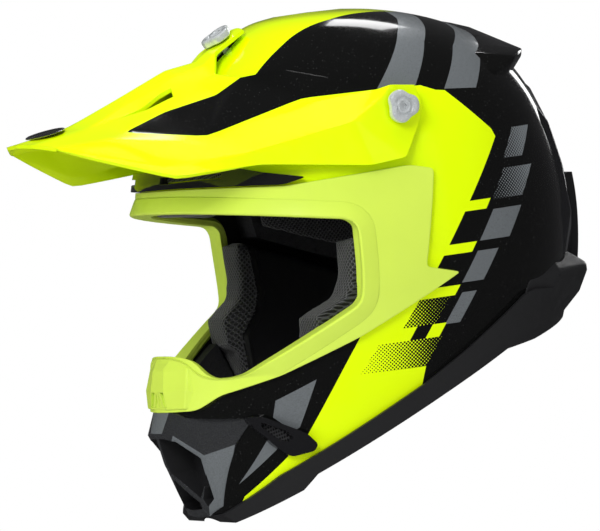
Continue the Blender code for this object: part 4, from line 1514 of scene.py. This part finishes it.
# middle lines of the chin strap; the right half runs on through the rings as the free end
STRAP_SIDE = ((82, 22, -58), (79, 17, -72), (70, 4, -84), (54, -8, -94), (36, -16, -99))
STRAP_LEFT_END = ((19.4, -20, -99),)
STRAP_RIGHT_END = ((-14, -20, -106.0), (4, -21, -107.0), (24, -20, -107.0), (40, -17, -106.0))
STRAP_CUSHION = ((71.5, 20, -67), (69, 15, -74), (63, 6, -81), (51, -8, -88))


def across_x(points, side):
    return tuple((side * x, y, z) for x, y, z in points)


def make_strap(looks):
    for name, side, end in (("left", 1, STRAP_LEFT_END), ("right", -1, STRAP_RIGHT_END)):
        strap = ribbon(smooth_path(across_x(STRAP_SIDE, side) + end), 1.7, 11.2)
        finish(strap, "web_" + name, "helmet", "webbing", [looks["webbing"]], ["strap_" + name], None, 50.0)
    for name, side in SIDES:
        cushion = ribbon(smooth_path(across_x(STRAP_CUSHION, side)), 4.0, 14.0)
        nodes = ["strap_pad_" + name]
        finish(cushion, "strap_cushion_" + name, "helmet", "knit", [looks["liner"]], nodes, None, 50.0)


def make_strap_loop(looks):
    """Sewn sleeve that holds the bars of both rings."""
    loop = box((4.2, -29.0, -103.0), (18.8, -11.0, -95.0))
    cut(loop, box((5.6, -40.0, -101.6), (17.4, 0.0, -96.4)))
    bevelled(loop, 0.6, 3, 30.0)
    finish(loop, "sewn_loop", "helmet", "webbing", [looks["webbing"]], ["strap_loop"], None, 50.0)


def make_ring(looks, name, centre):
    """Steel wire D, bar along Y, bow hanging down."""
    wire, sides = 1.6, 16
    path = []
    for k in range(37):
        angle = math.radians(-90 + 5 * k)
        path.append(Vector((3.0 + 12.0 * math.cos(angle), 17.0 * math.sin(angle), 0)))
    path += [Vector((0.0, y, 0)) for y in (16.0, 5.0, -5.0, -16.0)]
    turn = Matrix.Rotation(math.radians(90), 3, "Y")
    count = len(path)
    vertices = []
    for k, point in enumerate(path):
        along = (path[(k + 1) % count] - path[k - 1]).normalized()
        outward = along.cross(Vector((0, 0, 1))).normalized()
        for j in range(sides):
            angle = 2 * math.pi * j / sides
            offset = outward * wire * math.cos(angle) + Vector((0, 0, 1)) * wire * math.sin(angle)
            vertices.append(Vector(centre) + turn @ (point + offset))
    ring = mesh_object("ring", vertices, band_faces(count, sides, closed=True))
    finish(ring, name, name + "_body", "steel", [looks["steel"]], ["d_" + name], None, 50.0)


def dress_nodes(frame, looks):
    """Materials for the CAD nodes that are shown as they are."""
    kept = {
        "foam_crown": "foam",
        "strap_anchor_left": "steel", "strap_anchor_right": "steel",
        "screw_insert_left": "steel", "screw_insert_right": "steel",
        "brow_mesh_left": "gauze", "brow_mesh_right": "gauze",
    }
    for node, look in kept.items():
        piece = frame["nodes"][node]
        piece.data.materials.clear()
        piece.data.materials.append(looks[look])


# ---------------------------------------------------------------- stage


def area_light(name, spot, target, size, power, glossy):
    light = bpy.data.lights.new(name, "AREA")
    light.shape = "RECTANGLE"
    light.size, light.size_y = size
    light.energy = power
    lamp = new_object(name, light)
    lamp.location = spot
    lamp.visible_glossy = glossy
    lamp.rotation_euler = (Vector(target) - Vector(spot)).to_track_quat("-Z", "Y").to_euler()


# name, place, target, size in metres, power, seen in reflections
LIGHTS = (
    ("key", (1.3, -1.5, 1.3), (0, 0, 0), (1.1, 1.1), 30, False),
    ("top", (0.1, 0.1, 1.6), (0, 0, 0), (1.2, 0.8), 16, False),
    ("side", (1.9, 0.4, 0.15), (0, 0, 0), (0.5, 1.2), 8, False),
    ("front", (-0.2, -2.0, -0.1), (0, 0, 0), (1.2, 0.8), 10, False),
    ("glint", (1.5, -1.2, 1.1), (0, -0.05, 0), (0.16, 0.16), 3, True),
    ("edge", (-1.3, 1.6, 0.45), (0, 0, 0), (0.3, 0.9), 3, True),
    ("roof", (-0.9, 0.7, 1.5), (0, 0, 0.1), (0.5, 0.5), 4, True),
)
AMBIENT = (0.30, 0.305, 0.31, 1)
REFLECTED = (0.045, 0.045, 0.047, 1)
BACKDROP = (1, 1, 1, 1)
FLOOR_LEVEL = -320.0
FLOOR_RADIUS = 1300.0


def make_world():
    """White behind the helmet, dim grey in reflections, mid grey as fill light."""
    world = bpy.data.worlds.new("studio")
    bpy.context.scene.world = world
    world.use_nodes = True
    tree = world.node_tree
    rays = tree.nodes.new("ShaderNodeLightPath")
    mixes = []
    for ray in ("Is Glossy Ray", "Is Camera Ray"):
        mix = tree.nodes.new("ShaderNodeMix")
        mix.data_type = "RGBA"
        tree.links.new(rays.outputs[ray], mix.inputs[0])
        mixes.append(mix)
    mirror, direct = mixes
    mirror.inputs[6].default_value = AMBIENT
    mirror.inputs[7].default_value = REFLECTED
    direct.inputs[7].default_value = BACKDROP
    tree.links.new(mirror.outputs[2], direct.inputs[6])
    tree.links.new(direct.outputs[2], tree.nodes["Background"].inputs["Color"])


def make_stage():
    make_world()
    floor = turned(((-12.0, FLOOR_RADIUS), (0.0, FLOOR_RADIUS)), (0, 0, FLOOR_LEVEL), (0, 0, 1), 96)
    to_metres(floor)
    floor.name = "floor"
    floor.data.materials.append(Maker("floor_paint", (0.8, 0.8, 0.8), 0.6).material)
    floor.visible_glossy = False
    for light in LIGHTS:
        area_light(*light)


def make_camera():
    """Long lens at the wearer's left front, level with the face, the helmet leaning forward 8 degrees."""
    turn, lift, lean = math.radians(66), math.radians(-1), math.radians(8)
    distance, view_width, sensor = 4.0, 0.375, 36.0
    target = Vector((0.0, -0.0445, -0.0123))
    toward = Vector((math.sin(turn) * math.cos(lift), -math.cos(turn) * math.cos(lift), math.sin(lift)))
    unlean = Matrix.Rotation(-lean, 3, "X")
    toward = unlean @ toward
    upright = unlean @ Vector((0, 0, 1))
    side = upright.cross(toward).normalized()
    up = toward.cross(side)
    data = bpy.data.cameras.new("camera")
    data.sensor_width = sensor
    data.lens = sensor * distance / view_width
    data.clip_end = 30
    camera = new_object("camera", data)
    basis = Matrix((side, up, toward)).transposed()
    camera.matrix_world = Matrix.Translation(target + toward * distance) @ basis.to_4x4()
    bpy.context.scene.camera = camera


def main():
    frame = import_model()
    bpy.context.scene.view_settings.view_transform = "Standard"
    looks = make_materials()
    lookup = form_lookup()
    make_shell(looks, lookup)
    make_eyeport_frame(looks, lookup)
    make_brow_intake(looks, lookup)
    make_chin_vents(looks, lookup)
    make_neck_trim(looks, lookup)
    make_mouth_vent(looks)
    make_chin_foam(looks)
    make_spoiler(looks)
    make_rear_vents(looks, lookup)
    make_peak(looks)
    make_badge(looks)
    make_screws(looks)
    make_pads(looks)
    make_strap(looks)
    make_strap_loop(looks)
    make_ring(looks, "ring_inner", (8.0, -20.0, -99.0))
    make_ring(looks, "ring_outer", (15.0, -20.0, -99.0))
    dress_nodes(frame, looks)
    make_stage()
    make_camera()


main()
